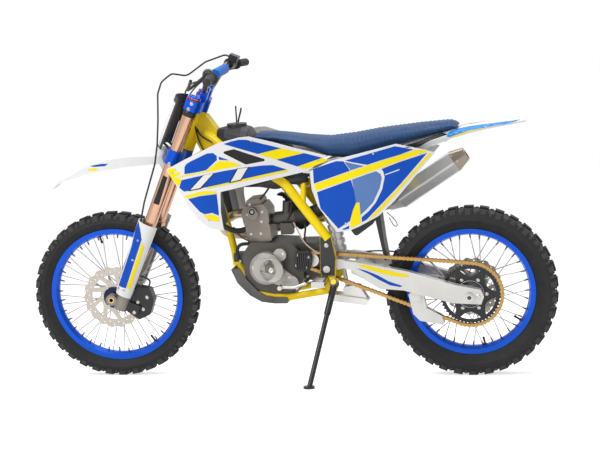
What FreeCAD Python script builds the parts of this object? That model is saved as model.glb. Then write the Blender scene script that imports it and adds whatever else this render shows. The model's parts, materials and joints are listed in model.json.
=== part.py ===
# Off-road motorcycle, parked on its side stand
import FreeCAD
import Part
import math
import os

Vector = FreeCAD.Vector

# Millimetres. The machine is drawn upright and straight ahead: X runs back from the front
# axle, Y to the rider's right and Z up from the ground. Fork pieces are drawn about the
# steering axis, with Z along it, X back from it, and the front axle at height zero.
# The last step turns the fork, leans the whole machine and moves its origin.

# Stance
wheelbase = 1470.0
rake = 24.1
lean = 8.0
rest_steer = 3.0

# Clearances that many pieces share
seat_gap = 0.3
turning_gap = 2.0
overrun = 40.0

# Front wheel
front_tyre_radius = 349.0
front_tyre_width = 84.0
front_rim_radius = 280.0
front_rim_width = 50.0
front_spoke_count = 36
front_lug_rows = 36
front_flange_radius = 38.0
front_flange_y = 28.0
front_disc_radius = 130.0
front_disc_y = 62.0

# Rear wheel
rear_tyre_radius = 342.0
rear_tyre_width = 106.0
rear_rim_radius = 255.0
rear_rim_width = 64.0
rear_spoke_count = 36
rear_lug_rows = 34
rear_flange_radius = 60.0
rear_flange_y = 32.0
rear_disc_radius = 120.0
rear_disc_y = 66.0

# Parts that both wheels share
tyre_tread_depth = 14.0
tyre_crown_half_width = 14.0
tyre_groove_width = 9.0
tyre_shoulder_lug = 15.0
rim_lip_height = 16.0
rim_wall = 3.5
rim_well_depth = 12.0
spoke_radius = 2.0
spoke_lead = 42.0
spoke_sides = 6
hub_wall = 9.0
hub_flange_wall = 7.0
disc_wall = 4.0
disc_carrier_radius = 52.0
disc_window_radius = 13.0
disc_window_count = 8
axle_radius = 12.5
axle_bore_radius = 8.0
axle_clearance = 0.3
axle_nut_radius = 17.0
axle_nut_wall = 10.0

# Chain drive
chain_pitch = 15.875
chain_width = 17.0
chain_inner_width = 12.0
chain_height = 15.0
chain_roller_radius = 5.08
chain_y = -66.0
rear_teeth = 50
front_teeth = 13
sprocket_wall = 6.0
front_sprocket_x = 845.0
front_sprocket_z = 490.0

# Fork
clamp_offset = 22.0
axle_lead = 43.5
leg_spread = 97.0
inner_tube_radius = 23.5
outer_tube_radius = 26.0
outer_tube_low = 308.0
tube_overlap = 220.0
lower_clamp_height = 655.5
lower_clamp_thickness = 61.0
clamp_spacing = 224.0
upper_clamp_height = lower_clamp_height + clamp_spacing
upper_clamp_thickness = 45.0
fork_cap_height = 13.0
outer_tube_high = upper_clamp_height + upper_clamp_thickness / 2 + fork_cap_height
clamp_wall = 5.0
clamp_reach = 16.0
stem_radius = 15.0
head_radius = 30.0

# Frame
pivot_x = 912.0
pivot_z = 465.0
spar_radius = 19.0
spar_half_width = 110.0
downtube_radius = 14.5
cradle_radius = 14.0
plate_thickness = 20.0
plate_inset = 2.0
pivot_tube_radius = 20.0
pivot_shaft_radius = 9.0

# Bodywork
plastic_wall = 4.0


# Helpers
bend_room_share = 0.45


def rod(start, end, radius):
    reach = end - start
    return Part.makeCylinder(radius, reach.Length, start, reach)


def bent_path(points, radius, closed=False):
    # Straight runs joined by tangent arcs
    count = len(points)
    edges = []
    here = None if closed else points[0]
    first = None
    for i in range(0 if closed else 1, count if closed else count - 1):
        corner = points[i]
        before = corner - points[i - 1]
        after = points[(i + 1) % count] - corner
        turn = before.getAngle(after)
        shorter = min(before.Length, after.Length)
        before.normalize()
        after.normalize()
        bend = min(radius, bend_room_share * shorter / math.tan(turn / 2))
        back = bend * math.tan(turn / 2)
        start = corner - before * back
        end = corner + after * back
        inward = after - before
        inward.normalize()
        middle = corner + inward * (bend / math.cos(turn / 2) - bend)
        if here is None:
            first = start
        else:
            edges.append(Part.LineSegment(here, start).toShape())
        edges.append(Part.Arc(start, middle, end).toShape())
        here = end
    edges.append(Part.LineSegment(here, first if closed else points[-1]).toShape())
    return Part.Wire(edges)


def pipe(points, radius, bend):
    path = bent_path(points, bend)
    ring = Part.Wire(Part.makeCircle(radius, points[0], points[1] - points[0]))
    return path.makePipeShell([ring], True, False)


def slab(outline, low, high, corner=0):
    # A side-view outline of (x, z) points, carried across from y = low to y = high
    points = [Vector(x, low, z) for x, z in outline]
    if corner:
        wire = bent_path(points, corner, True)
    else:
        wire = Part.makePolygon(points + points[:1])
    return Part.Face(wire).extrude(Vector(0, high - low, 0))


def scaled(shares, x, z, length, height):
    return [(x + u * length, z + w * height) for u, w in shares]


def turned(profile):
    # A ring about the Y axis from (radius, y) points
    points = [Vector(r, y, 0) for r, y in profile]
    face = Part.Face(Part.makePolygon(points + points[:1]))
    return face.revolve(Vector(0, 0, 0), Vector(0, 1, 0), 360)


def disc(x, z, radius, low, high):
    # A round plate or boss with its axis along Y
    low, high = min(low, high), max(low, high)
    return Part.makeCylinder(radius, high - low, Vector(x, low, z), Vector(0, 1, 0))


def block(low, high):
    # A box between two opposite corners
    corner = Vector(min(low.x, high.x), min(low.y, high.y), min(low.z, high.z))
    size = high - low
    return Part.makeBox(abs(size.x), abs(size.y), abs(size.z), corner)


def fused(shapes):
    whole = shapes[0]
    if len(shapes) > 1:
        whole = whole.fuse(shapes[1:])
    merged = whole.removeSplitter()
    return merged if merged.isValid() else whole


def mirrored(shape):
    return shape.mirror(Vector(0, 0, 0), Vector(0, 1, 0))


def both_sides(shape):
    return Part.makeCompound([shape, mirrored(shape)])


def polar(radius, angle, y):
    turn = math.radians(angle)
    return Vector(radius * math.cos(turn), y, radius * math.sin(turn))


def crowned_section(x, half_width, low, high, section_shares):
    # Outline across the machine at one x, from half-width and height shares on one side
    right = [(u * half_width, low + w * (high - low)) for u, w in section_shares]
    left = [(-y, z) for y, z in reversed(right)]
    points = [Vector(x, y, z) for y, z in right + left]
    return Part.makePolygon(points + points[:1])


def curved_panel(outline, plan, tilt, wall):
    # A thin plate that follows a curve seen from above and leans inwards with height
    heights = [z for x, z in outline]
    low = min(heights) - overrun
    high = max(heights) + overrun
    outer = [Vector(x, y - tilt * (high - low) / 2, low) for x, y in plan]
    inner = [p + Vector(0, wall, 0) for p in outer]
    curves = []
    for row in (outer, inner):
        curve = Part.BSplineCurve()
        curve.interpolate(row)
        curves.append(curve.toShape())
    ends = [
        Part.LineSegment(outer[0], inner[0]).toShape(),
        Part.LineSegment(outer[-1], inner[-1]).toShape(),
    ]
    ring = Part.Wire(Part.__sortEdges__(curves + ends))
    band = Part.Face(ring).extrude(Vector(0, tilt * (high - low), high - low))
    ys = [y for x, y in plan]
    reach = abs(tilt) * (high - low) + overrun
    return band.common(slab(outline, min(ys) - reach, max(ys) + reach))


def raked(shape):
    # Carries a fork piece from the steering axis to its place on the upright machine
    shape.Placement = rake_place.multiply(shape.Placement)
    return shape


# Where the steering axis stands
rake_angle = math.radians(rake)
axle_forward = clamp_offset + axle_lead
steer_foot = Vector(
    axle_forward * math.cos(rake_angle),
    0,
    front_tyre_radius - axle_forward * math.sin(rake_angle),
)
rake_place = FreeCAD.Placement(steer_foot, FreeCAD.Rotation(Vector(0, 1, 0), rake))
steer_axis = rake_place.Rotation.multVec(Vector(0, 0, 1))


# Wheels
tyre_sides_share = 0.42
tyre_shoulder_share = 0.92
tyre_shoulder_drop_share = 0.35
tyre_lug_length_share = 0.58


def tyre_profiles(radius, width, rim_radius, rim_width):
    # Sections through a groove and through a row of lugs, as (radius, y) points
    half = width / 2
    seat = rim_radius - rim_lip_height + seat_gap
    bead = rim_width / 2 - rim_wall - seat_gap
    carcass = radius - tyre_tread_depth
    shoulder = radius - tyre_tread_depth * tyre_shoulder_drop_share
    side = [
        (seat, bead),
        (rim_radius + seat_gap, bead),
        (rim_radius + tyre_sides_share * (radius - rim_radius), half),
    ]
    groove = side + [(carcass, half * tyre_shoulder_share)]
    lugs = side + [
        (shoulder, half * tyre_shoulder_share),
        (shoulder, half * tyre_shoulder_share - tyre_shoulder_lug),
        (carcass, tyre_crown_half_width + tyre_groove_width),
        (carcass, tyre_crown_half_width),
        (radius, tyre_crown_half_width),
    ]
    return [right + [(r, -y) for r, y in reversed(right)] for right in (groove, lugs)]


def ring_slice(profile, start, end):
    # A flat-faced piece of a ring between two angles
    stretch = 1 / math.cos(math.radians(end - start) / 2)
    wires = []
    for angle in (start, end):
        points = [polar(r * stretch, angle, y) for r, y in profile]
        wires.append(Part.makePolygon(points + points[:1]))
    return Part.makeLoft(wires, True, True)


def tyre(radius, width, rim_radius, rim_width, rows):
    # Knobbed tyre: rows of lugs with a groove between them, one row at the very bottom
    groove, lugs = tyre_profiles(radius, width, rim_radius, rim_width)
    step = 360.0 / rows
    half = step * tyre_lug_length_share / 2
    slices = []
    for i in range(rows):
        middle = i * step - 90
        slices.append(ring_slice(lugs, middle - half, middle + half))
        slices.append(ring_slice(groove, middle + half, middle + step - half))
    return fused(slices)


rim_step_share = 0.5
rim_well_share = 0.3


def rim(radius, width):
    half = width / 2
    seat = radius - rim_lip_height
    well = seat - rim_well_depth
    right = [
        (seat - rim_wall, half),
        (radius, half),
        (radius, half - rim_wall),
        (seat, half - rim_wall),
        (seat, rim_step_share * half),
        (well + rim_wall, rim_well_share * half),
    ]
    left = [(r, -y) for r, y in reversed(right)]
    inside = [(well, -rim_well_share * half), (well, rim_well_share * half)]
    return turned(right + left + inside)


def spoke(start, end):
    # Six-sided wire, drawn between its two ends
    reach = end - start
    points = []
    for i in range(spoke_sides):
        angle = 2 * math.pi * i / spoke_sides
        points.append(Vector(spoke_radius * math.cos(angle), spoke_radius * math.sin(angle), 0))
    wire = Part.makePolygon(points + points[:1])
    bar = Part.Face(wire).extrude(Vector(0, 0, reach.Length))
    bar.Placement = FreeCAD.Placement(start, FreeCAD.Rotation(Vector(0, 0, 1), reach))
    return bar


hub_neck_share = 0.6
spoke_side_share = 0.12


def hub(flange_radius, flange_y, left_end, right_end, rim_radius, rim_width, count):
    bore = axle_radius + axle_clearance
    barrel = bore + hub_wall
    wall = hub_flange_wall / 2
    neck = disc_carrier_radius * hub_neck_share
    body = turned([
        (bore, left_end),
        (neck, left_end),
        (neck, -flange_y - 2 * wall),
        (flange_radius, -flange_y - wall),
        (flange_radius, -flange_y + wall),
        (barrel, -flange_y + 3 * wall),
        (barrel, flange_y - 3 * wall),
        (flange_radius, flange_y - wall),
        (flange_radius, flange_y + wall),
        (neck, flange_y + 2 * wall),
        (neck, right_end),
        (bore, right_end),
    ])
    well = rim_radius - rim_lip_height - rim_well_depth - seat_gap
    step = 360.0 / count
    spokes = []
    for i in range(count):
        side = 1 if i % 2 else -1
        lead = spoke_lead if (i // 2) % 2 else -spoke_lead
        start = polar(flange_radius - hub_flange_wall, i * step + lead, side * flange_y)
        end = polar(well - spoke_radius, i * step, side * rim_width * spoke_side_share)
        spokes.append(spoke(start, end))
    return fused([body] + spokes)


def brake_disc(radius, y, bore):
    # Disc with a ring of windows between its carrier and its braking band
    low = y - disc_wall / 2
    plate = disc(0, 0, radius, low, low + disc_wall)
    middle = (disc_carrier_radius + radius) / 2
    for i in range(disc_window_count):
        centre = polar(middle - disc_window_radius / 2, i * 360.0 / disc_window_count, 0)
        plate = plate.cut(disc(centre.x, centre.z, disc_window_radius, low - overrun, low + overrun))
    return plate.cut(disc(0, 0, bore, low - overrun, low + overrun))


front_axle_place = Vector(-axle_forward, 0, 0)
rear_axle_x = wheelbase
rear_axle_z = rear_tyre_radius
front_hub_end = front_disc_y - disc_wall / 2 - seat_gap
rear_hub_left = abs(chain_y) - sprocket_wall / 2 - seat_gap
rear_hub_right = rear_disc_y - disc_wall / 2 - seat_gap
disc_bore = axle_radius + hub_wall


def at_front(shape):
    # From the wheel's own centre, level with the ground, to the fork's place
    shape.rotate(Vector(0, 0, 0), Vector(0, 1, 0), -rake)
    shape.translate(front_axle_place)
    return raked(shape)


def at_rear(shape):
    shape.translate(Vector(rear_axle_x, 0, rear_axle_z))
    return shape


def front_wheel_pieces():
    hub_and_spokes = hub(
        front_flange_radius, front_flange_y, -front_hub_end, front_hub_end,
        front_rim_radius, front_rim_width, front_spoke_count,
    )
    rubber = tyre(front_tyre_radius, front_tyre_width, front_rim_radius, front_rim_width,
                  front_lug_rows)
    return {
        "front_tyre": at_front(rubber),
        "front_rim": at_front(rim(front_rim_radius, front_rim_width)),
        "front_hub_and_spokes": at_front(hub_and_spokes),
        "front_brake_disc": at_front(brake_disc(front_disc_radius, -front_disc_y, disc_bore)),
    }


def pitch_radius(teeth):
    return chain_pitch / (2 * math.sin(math.pi / teeth))


sprocket_window_share = 0.62
sprocket_window_size_share = 0.14
sprocket_window_count = 6


def sprocket(teeth, y, bore):
    # Plain disc whose edge lies just under the chain's rollers
    edge = (pitch_radius(teeth) - chain_roller_radius) * math.cos(math.pi / teeth) - axle_clearance
    plate = disc(0, 0, edge, y - sprocket_wall / 2, y + sprocket_wall / 2)
    if edge > disc_carrier_radius:
        for i in range(sprocket_window_count):
            centre = polar(edge * sprocket_window_share, i * 360.0 / sprocket_window_count, 0)
            plate = plate.cut(disc(centre.x, centre.z, edge * sprocket_window_size_share,
                                   y - overrun, y + overrun))
    return plate.cut(disc(0, 0, bore, y - overrun, y + overrun))


def rear_wheel_pieces():
    hub_and_spokes = hub(
        rear_flange_radius, rear_flange_y, -rear_hub_left, rear_hub_right,
        rear_rim_radius, rear_rim_width, rear_spoke_count,
    )
    rubber = tyre(rear_tyre_radius, rear_tyre_width, rear_rim_radius, rear_rim_width,
                  rear_lug_rows)
    return {
        "rear_tyre": at_rear(rubber),
        "rear_rim": at_rear(rim(rear_rim_radius, rear_rim_width)),
        "rear_hub_and_spokes": at_rear(hub_and_spokes),
        "rear_brake_disc": at_rear(brake_disc(rear_disc_radius, rear_disc_y, disc_bore)),
        "rear_sprocket": at_rear(sprocket(rear_teeth, chain_y, disc_bore)),
    }


# Fork pieces, about the steering axis
lug_radius = 27.5
lug_low = -25.0
lug_high = 62.0
lug_half_width = 17.0
lug_eye_radius = 23.0
collar_radius = 29.5
collar_height = 27.0


def fork_outer_tubes():
    # Anodised tubes with the wiper collars at their lower ends
    foot = Vector(-clamp_offset, -leg_spread, outer_tube_low)
    top = Vector(-clamp_offset, -leg_spread, outer_tube_high)
    tube = rod(foot, top, outer_tube_radius)
    collar = rod(foot, foot + Vector(0, 0, collar_height), collar_radius)
    bore = rod(foot - Vector(0, 0, overrun), foot + Vector(0, 0, tube_overlap),
               inner_tube_radius + seat_gap)
    return raked(both_sides(fused([tube, collar]).cut(bore)))


def lug_shapes():
    # Castings that join each leg to the axle
    column = rod(Vector(-clamp_offset, -leg_spread, lug_low),
                 Vector(-clamp_offset, -leg_spread, lug_high), lug_radius)
    eye = disc(-axle_forward, 0, lug_eye_radius,
               -leg_spread - lug_half_width, -leg_spread + lug_half_width)
    web = block(Vector(-axle_forward, -leg_spread - lug_half_width, -lug_radius / 2),
                Vector(-clamp_offset, -leg_spread + lug_half_width, lug_radius / 2))
    bore = disc(-axle_forward, 0, axle_radius + axle_clearance / 3,
                -leg_spread - overrun, -leg_spread + overrun)
    whole = fused([column, eye, web]).cut(bore)
    for low, high in ((-leg_spread - 2 * overrun, -leg_spread - lug_half_width),
                      (-leg_spread + lug_half_width, 0)):
        whole = whole.cut(disc(-axle_forward, 0, axle_nut_radius + seat_gap, low, high))
    return whole


def fork_lower_legs():
    tube = rod(Vector(-clamp_offset, -leg_spread, lug_high),
               Vector(-clamp_offset, -leg_spread, outer_tube_low + tube_overlap - seat_gap),
               inner_tube_radius)
    return raked(both_sides(fused([tube, lug_shapes()])))


def front_axle():
    # Hollow axle with its head and the spacers either side of the wheel
    end = leg_spread + lug_half_width
    pieces = [
        disc(-axle_forward, 0, axle_radius, -end, end),
        disc(-axle_forward, 0, axle_nut_radius, end, end + axle_nut_wall),
    ]
    inner = front_hub_end + disc_wall + turning_gap
    for side in (-1, 1):
        pieces.append(disc(-axle_forward, 0, axle_nut_radius, side * inner,
                           side * (leg_spread - lug_half_width)))
    bore = disc(-axle_forward, 0, axle_bore_radius, -end - overrun, end + overrun)
    return raked(fused(pieces).cut(bore))


def clamp(height, thickness):
    # Bridge between the two legs, with a ring round each
    low = height - thickness / 2
    ring = outer_tube_radius + clamp_wall
    legs = [Part.makeCylinder(ring, thickness, Vector(-clamp_offset, side * leg_spread, low))
            for side in (-1, 1)]
    bridge = block(Vector(-clamp_offset - clamp_reach, -leg_spread, low),
                   Vector(clamp_reach, leg_spread, low + thickness))
    boss = Part.makeCylinder(head_radius, thickness, Vector(0, 0, low))
    whole = fused(legs + [bridge, boss])
    for side in (-1, 1):
        whole = whole.cut(Part.makeCylinder(
            outer_tube_radius + seat_gap / 2, thickness + 2 * overrun,
            Vector(-clamp_offset, side * leg_spread, low - overrun)))
    return whole


lower_clamp_top = lower_clamp_height + lower_clamp_thickness / 2
upper_clamp_top = upper_clamp_height + upper_clamp_thickness / 2
head_low = lower_clamp_top + turning_gap
head_high = upper_clamp_height - upper_clamp_thickness / 2 - turning_gap
stem_nut_height = 10.0


def lower_clamp():
    stem = rod(Vector(0, 0, lower_clamp_height), Vector(0, 0, upper_clamp_top + stem_nut_height),
               stem_radius)
    return raked(fused([clamp(lower_clamp_height, lower_clamp_thickness), stem]))


bar_radius = 11.0
bar_clamp_x = 2.5
bar_clamp_rise = 43.0
bar_rise = 92.0
bar_start_x = 8.0
bar_half_width = 405.0
bar_sweep = 49.0
bar_end_rise = 4.0
bar_bend_y = 185.0
bar_flat_y = 75.0
bar_bend = 60.0
cross_bar_radius = 6.0
cross_bar_drop = 8.0
grip_radius = 16.0
grip_length = 122.0
grip_end_wall = 3.0
grip_flange_radius = 25.0
grip_flange_wall = 6.0
post_y = 38.0
post_size = 26.0
post_cap = 14.0
bar_clamp_z = upper_clamp_top + bar_clamp_rise
bar_top_z = bar_clamp_z + bar_rise
cross_bar_z = bar_top_z - cross_bar_drop


def upper_clamp():
    # Top bridge with the two posts that hold the handlebar
    plate = clamp(upper_clamp_height, upper_clamp_thickness)
    hole = rod(Vector(0, 0, lower_clamp_height), Vector(0, 0, upper_clamp_top + overrun),
               stem_radius + seat_gap)
    half = post_size / 2
    posts = []
    for side in (-1, 1):
        posts.append(block(Vector(bar_clamp_x - half, side * post_y - half, upper_clamp_top),
                           Vector(bar_clamp_x + half, side * post_y + half, bar_clamp_z + post_cap)))
    whole = fused([plate.cut(hole)] + posts)
    bar_hole = rod(Vector(bar_clamp_x, -2 * overrun, bar_clamp_z),
                   Vector(bar_clamp_x, 2 * overrun, bar_clamp_z), bar_radius + seat_gap)
    return raked(whole.cut(bar_hole))


def bar_point(y):
    # The handlebar's outer run sweeps back to its end
    share = (abs(y) - bar_bend_y) / (bar_half_width - bar_bend_y)
    return Vector(bar_start_x + share * bar_sweep, y, bar_top_z + share * bar_end_rise)


def cross_bar(radius):
    inset = bar_bend_y - bar_radius
    start = Vector(bar_start_x, -inset, cross_bar_z)
    return rod(start, Vector(start.x, -start.y, start.z), radius)


def handlebar():
    left = [bar_point(-bar_half_width), bar_point(-bar_bend_y),
            Vector(bar_clamp_x, -bar_flat_y, bar_clamp_z)]
    right = [Vector(p.x, -p.y, p.z) for p in reversed(left)]
    return raked(fused([pipe(left + right, bar_radius, bar_bend), cross_bar(cross_bar_radius)]))


pad_radius = 22.0
pad_half_length = 108.0
pad_setback = 14.0


def bar_pad():
    # Padded roll round the cross bar
    centre = Vector(bar_start_x + pad_setback, 0, cross_bar_z)
    half = Vector(0, pad_half_length, 0)
    roll = rod(centre - half, centre + half, pad_radius)
    return raked(roll.cut(cross_bar(cross_bar_radius + seat_gap)))


def grips():
    end = Vector(0, grip_end_wall, 0)
    inner = bar_point(-bar_half_width + grip_length)
    sleeve = rod(bar_point(-bar_half_width) - end, inner, grip_radius)
    flange = rod(inner, bar_point(-bar_half_width + grip_length + grip_flange_wall),
                 grip_flange_radius)
    hole = rod(bar_point(-bar_half_width) - end * (seat_gap / grip_end_wall),
               bar_point(-bar_half_width + grip_length + overrun), bar_radius + seat_gap)
    return raked(both_sides(fused([sleeve, flange]).cut(hole)))


perch_gap = 1.0
perch_half_width = 14.0
perch_y = bar_half_width - grip_length - grip_flange_wall - perch_gap - perch_half_width
perch_wall = 8.0
switch_length = 36.0
switch_wall = 11.0
lever_radius = 6.0
lever_bend = 16.0
lever_length = 130.0
lever_forward = 50.0
lever_drop = 72.0
lever_shares = [(0.3, 0.1, 0.0), (0.7, 0.62, 0.06), (1.0, 1.0, 0.32), (0.72, 0.24, 1.0)]
master_size = Vector(38.0, 56.0, 28.0)
master_back = 20.0


def control(side):
    # Lever perch, its lever blade and, on the right, the brake's fluid reservoir
    ring = rod(bar_point(side * (perch_y - perch_half_width)),
               bar_point(side * (perch_y + perch_half_width)), bar_radius + perch_wall)
    switch = rod(bar_point(side * (perch_y - perch_half_width - switch_length)),
                 bar_point(side * (perch_y - perch_half_width)), bar_radius + switch_wall)
    root = bar_point(side * perch_y)
    points = [root + Vector(-u * lever_forward, side * y * lever_length, -w * lever_drop)
              for u, w, y in lever_shares]
    pieces = [ring, switch, pipe(points, lever_radius, lever_bend)]
    if side > 0:
        low = root + Vector(-master_back, -master_size.y, bar_radius)
        high = low + Vector(master_size.x, master_size.y, master_size.z)
        pieces.append(block(low, high))
    hole = rod(bar_point(side * (perch_y - perch_half_width - switch_length - overrun)),
               bar_point(side * (perch_y + perch_half_width + perch_gap)), bar_radius + seat_gap)
    return fused(pieces).cut(hole)


def bar_controls():
    return raked(Part.makeCompound([control(-1), control(1)]))


plate_front = 113.0
plate_edge_depth = 29.0
plate_wall = 3.0
plate_foot = 7.5
plate_low = lower_clamp_height + plate_foot
plate_high = upper_clamp_height
plate_half_width = 92.0
plate_stay_radius = 5.0
plate_stay_y = 34.0
plate_stay_rise_share = 0.12


def number_plate():
    # Blank front plate, curved round the fork, on two stays to the lower clamp
    edges = []
    for x in (-plate_front, -plate_front + plate_wall):
        edges.append(Part.Arc(
            Vector(x + plate_edge_depth, -plate_half_width, plate_low), Vector(x, 0, plate_low),
            Vector(x + plate_edge_depth, plate_half_width, plate_low)).toShape())
    for side in (-1, 1):
        start = Vector(-plate_front + plate_edge_depth, side * plate_half_width, plate_low)
        edges.append(Part.LineSegment(start, start + Vector(plate_wall, 0, 0)).toShape())
    ring = Part.Wire(Part.__sortEdges__(edges))
    sheet = Part.Face(ring).extrude(Vector(0, 0, plate_high - plate_low))
    stays = []
    back = -clamp_offset - clamp_reach - seat_gap
    reach = plate_edge_depth * (plate_stay_y / plate_half_width) ** 2
    rise = plate_low + plate_stay_rise_share * (plate_high - plate_low)
    for side in (-1, 1):
        stays.append(rod(Vector(back, side * plate_stay_y, lower_clamp_height),
                         Vector(-plate_front + reach + plate_wall / 2, side * plate_stay_y, rise),
                         plate_stay_radius))
    outside = block(Vector(-2 * plate_front, -plate_half_width, 0),
                    Vector(-plate_front - plate_wall, plate_half_width, plate_high))
    seated = block(Vector(back, -plate_half_width, 0), Vector(0, plate_half_width, plate_high))
    return raked(fused([sheet] + stays).cut(outside).cut(seated))


# Distance along the mudguard, height, half-width and depth, as shares
fender_shares = [
    (0.0, 0.0, 0.3, 0.15),
    (0.045, 0.17, 0.52, 0.34),
    (0.1, 0.25, 0.64, 0.3),
    (0.162, 0.41, 0.78, 0.62),
    (0.25, 0.57, 0.9, 0.8),
    (0.365, 0.735, 1.0, 1.0),
    (0.515, 0.865, 1.0, 0.97),
    (0.775, 1.0, 0.86, 0.72),
    (0.808, 0.895, 0.84, 0.5),
    (1.0, 0.895, 0.8, 0.4),
]
fender_front = 466.0
fender_length = 506.0
fender_height = 334.0
fender_half_width = 74.0
fender_drop = 84.0
fender_crown_share = 0.62
fender_shoulder_share = 0.45
fender_top = lower_clamp_height - lower_clamp_thickness / 2 - seat_gap
fender_mount_share = 0.895


def arch(x, top, half_width, drop, wall):
    # Cross-section of a mudguard: flat crown, rounded shoulders, open below
    crown = top - wall
    side = half_width - wall
    foot = top - drop - (overrun if wall else 0)
    shoulder = crown - (drop - wall) * fender_shoulder_share
    inner = fender_crown_share * side
    points = [
        Vector(x, -side, foot),
        Vector(x, -side, shoulder),
        Vector(x, -inner, crown),
        Vector(x, inner, crown),
        Vector(x, side, shoulder),
        Vector(x, side, foot),
    ]
    return Part.makePolygon(points + points[:1])


def mudguard(stations, wall):
    outer = Part.makeLoft([arch(x, z, w, d, 0) for x, z, w, d in stations], True, True)
    inner = Part.makeLoft([arch(x, z, w, d, wall) for x, z, w, d in stations], True, True)
    return outer.cut(inner)


def front_fender():
    stations = []
    for u, w, width_share, drop_share in fender_shares:
        stations.append((
            -fender_front + u * fender_length,
            fender_top + (w - fender_mount_share) * fender_height,
            fender_half_width * width_share,
            max(fender_drop * drop_share, 3 * plastic_wall),
        ))
    room = [rod(Vector(-clamp_offset, side * leg_spread, outer_tube_low),
                Vector(-clamp_offset, side * leg_spread, outer_tube_high),
                outer_tube_radius + seat_gap) for side in (-1, 1)]
    return raked(mudguard(stations, plastic_wall).cut(Part.makeCompound(room)))


guard_low = 41.0
guard_high = 364.0
guard_low_radius = 39.0
guard_high_radius = 50.0
guard_wall = 4.0
guard_start = 141.0
guard_end = 320.0
guard_foot_height = 21.0


def guard_sector(height):
    # The part of the leg's surroundings, seen from above, that the guard covers
    centre = Vector(-clamp_offset, -leg_spread, guard_low - overrun)
    sector = Part.makeCylinder(2 * guard_high_radius, height + 2 * overrun, centre,
                               Vector(0, 0, 1), guard_end - guard_start)
    sector.rotate(centre, Vector(0, 0, 1), guard_start)
    return sector


def fork_guards():
    # Plastic shields that wrap the front and outside of each lower leg, seated on its casting
    height = guard_high - guard_low
    centre = Vector(-clamp_offset, -leg_spread, guard_low)
    shell = Part.makeCone(guard_low_radius, guard_high_radius, height, centre)
    shell = shell.cut(Part.makeCone(guard_low_radius - guard_wall, guard_high_radius - guard_wall,
                                    height, centre))
    foot = Part.makeCylinder(guard_low_radius - guard_wall / 2, guard_foot_height, centre)
    foot = foot.cut(rod(centre - Vector(0, 0, overrun), centre + Vector(0, 0, overrun),
                        lug_radius + seat_gap))
    return raked(both_sides(fused([shell, foot]).common(guard_sector(height))))


caliper_shares = [(0.0, 0.1), (0.62, 0.0), (1.0, 0.28), (0.95, 0.72), (0.62, 1.0), (0.0, 0.92)]
caliper_x = 8.0
caliper_z = -40.0
caliper_length = 96.0
caliper_height = 140.0
caliper_inner_y = -46.0
caliper_outer_y = -92.0
caliper_corner = 8.0
caliper_disc_gap = 3.0
bracket_wall = 12.0
bracket_height = 40.0


def front_caliper():
    # Bridges the rim of the disc behind the left leg, on a bracket to the leg's casting
    outline = scaled(caliper_shares, caliper_x, caliper_z, caliper_length, caliper_height)
    body = slab(outline, caliper_outer_y, caliper_inner_y, caliper_corner)
    bracket = block(Vector(-clamp_offset, caliper_outer_y - bracket_wall, -bracket_height / 2),
                    Vector(caliper_x + caliper_length / 2, caliper_outer_y + bracket_wall,
                           bracket_height / 2))
    gap = disc_wall / 2 + caliper_disc_gap
    slot = disc(-axle_forward, 0, front_disc_radius + turning_gap + caliper_disc_gap,
                -front_disc_y - gap, -front_disc_y + gap)
    leg = rod(Vector(-clamp_offset, -leg_spread, lug_low - overrun),
              Vector(-clamp_offset, -leg_spread, guard_high), lug_radius + seat_gap)
    eye = disc(-axle_forward, 0, lug_eye_radius + lug_radius / 2, -2 * leg_spread, 0)
    whole = fused([body, bracket]).cut(slot).cut(leg).cut(eye)
    return raked(whole)


# Front brake hose: from the reservoir, in front of the plate, down the left leg to the caliper
hose_radius = 3.5
hose_bend = 40.0
master_port = bar_point(perch_y) + Vector(-master_back - seat_gap, -master_size.y / 2,
                                          bar_radius + master_size.z / 2)
caliper_port = Vector(caliper_x + caliper_length / 2, (caliper_outer_y - front_disc_y) / 2,
                      caliper_z + caliper_height + seat_gap)
hose_points = [
    master_port,
    master_port - Vector(hose_bend / 2, 0, 0),
    Vector(-78, 205, 1010),
    Vector(-125, 165, 934),
    Vector(-178, 105, 930),
    Vector(-198, 62, 890),
    Vector(-190, 30, 845),
    Vector(-140, -45, 760),
    Vector(-104, -80, 672),
    Vector(-84, -100, 600),
    Vector(-72, -108, 440),
    Vector(-60, -100, 350),
    Vector(-55, -102, 200),
    Vector(-40, -123, 166),
    Vector(-18, -129, 152),
    Vector(12, -116, 146),
    Vector(40, -92, 140),
    Vector(caliper_port.x, caliper_port.y, 128),
    caliper_port,
]


def brake_hose():
    return raked(pipe(hose_points, hose_radius, hose_bend))


# Frame
gusset_shares = [
    (0.15, 0.96), (0.24, 0.93), (0.56, 0.48), (0.93, 0.25),
    (1.0, 0.07), (0.63, 0.0), (0.16, 0.16), (0.0, 0.5),
]
gusset_setback = 44.0
gusset_drop = 70.0
gusset_length = 215.0
gusset_height = 218.0
gusset_half_width = 30.0
spar_shares = [(0.0, 0.2, 1.0), (0.26, 0.62, 0.81), (0.67, 0.95, 0.53), (1.0, 1.0, 0.0)]
spar_head_share = 0.4
spar_setback = 62.0
spar_end_setback = 10.0
spar_end_rise = 120.0
spar_bend = 90.0
stub_share = 0.42
stub_radius = 11.0
plate_shares = [(0.1, 1.0), (0.75, 1.0), (1.0, 0.6), (0.8, 0.05), (0.3, 0.0), (0.0, 0.35)]
plate_lead = 28.0
plate_drop = 93.0
frame_plate_x = pivot_x - plate_lead
frame_plate_z = pivot_z - plate_drop
frame_plate_length = 66.0
frame_plate_height = 230.0
frame_plate_corner = 12.0
frame_plate_inner = spar_half_width - plate_thickness / 2 - plate_inset
frame_plate_outer = spar_half_width + plate_thickness / 2 - plate_inset


def head_point(height):
    return steer_foot + steer_axis * height


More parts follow.
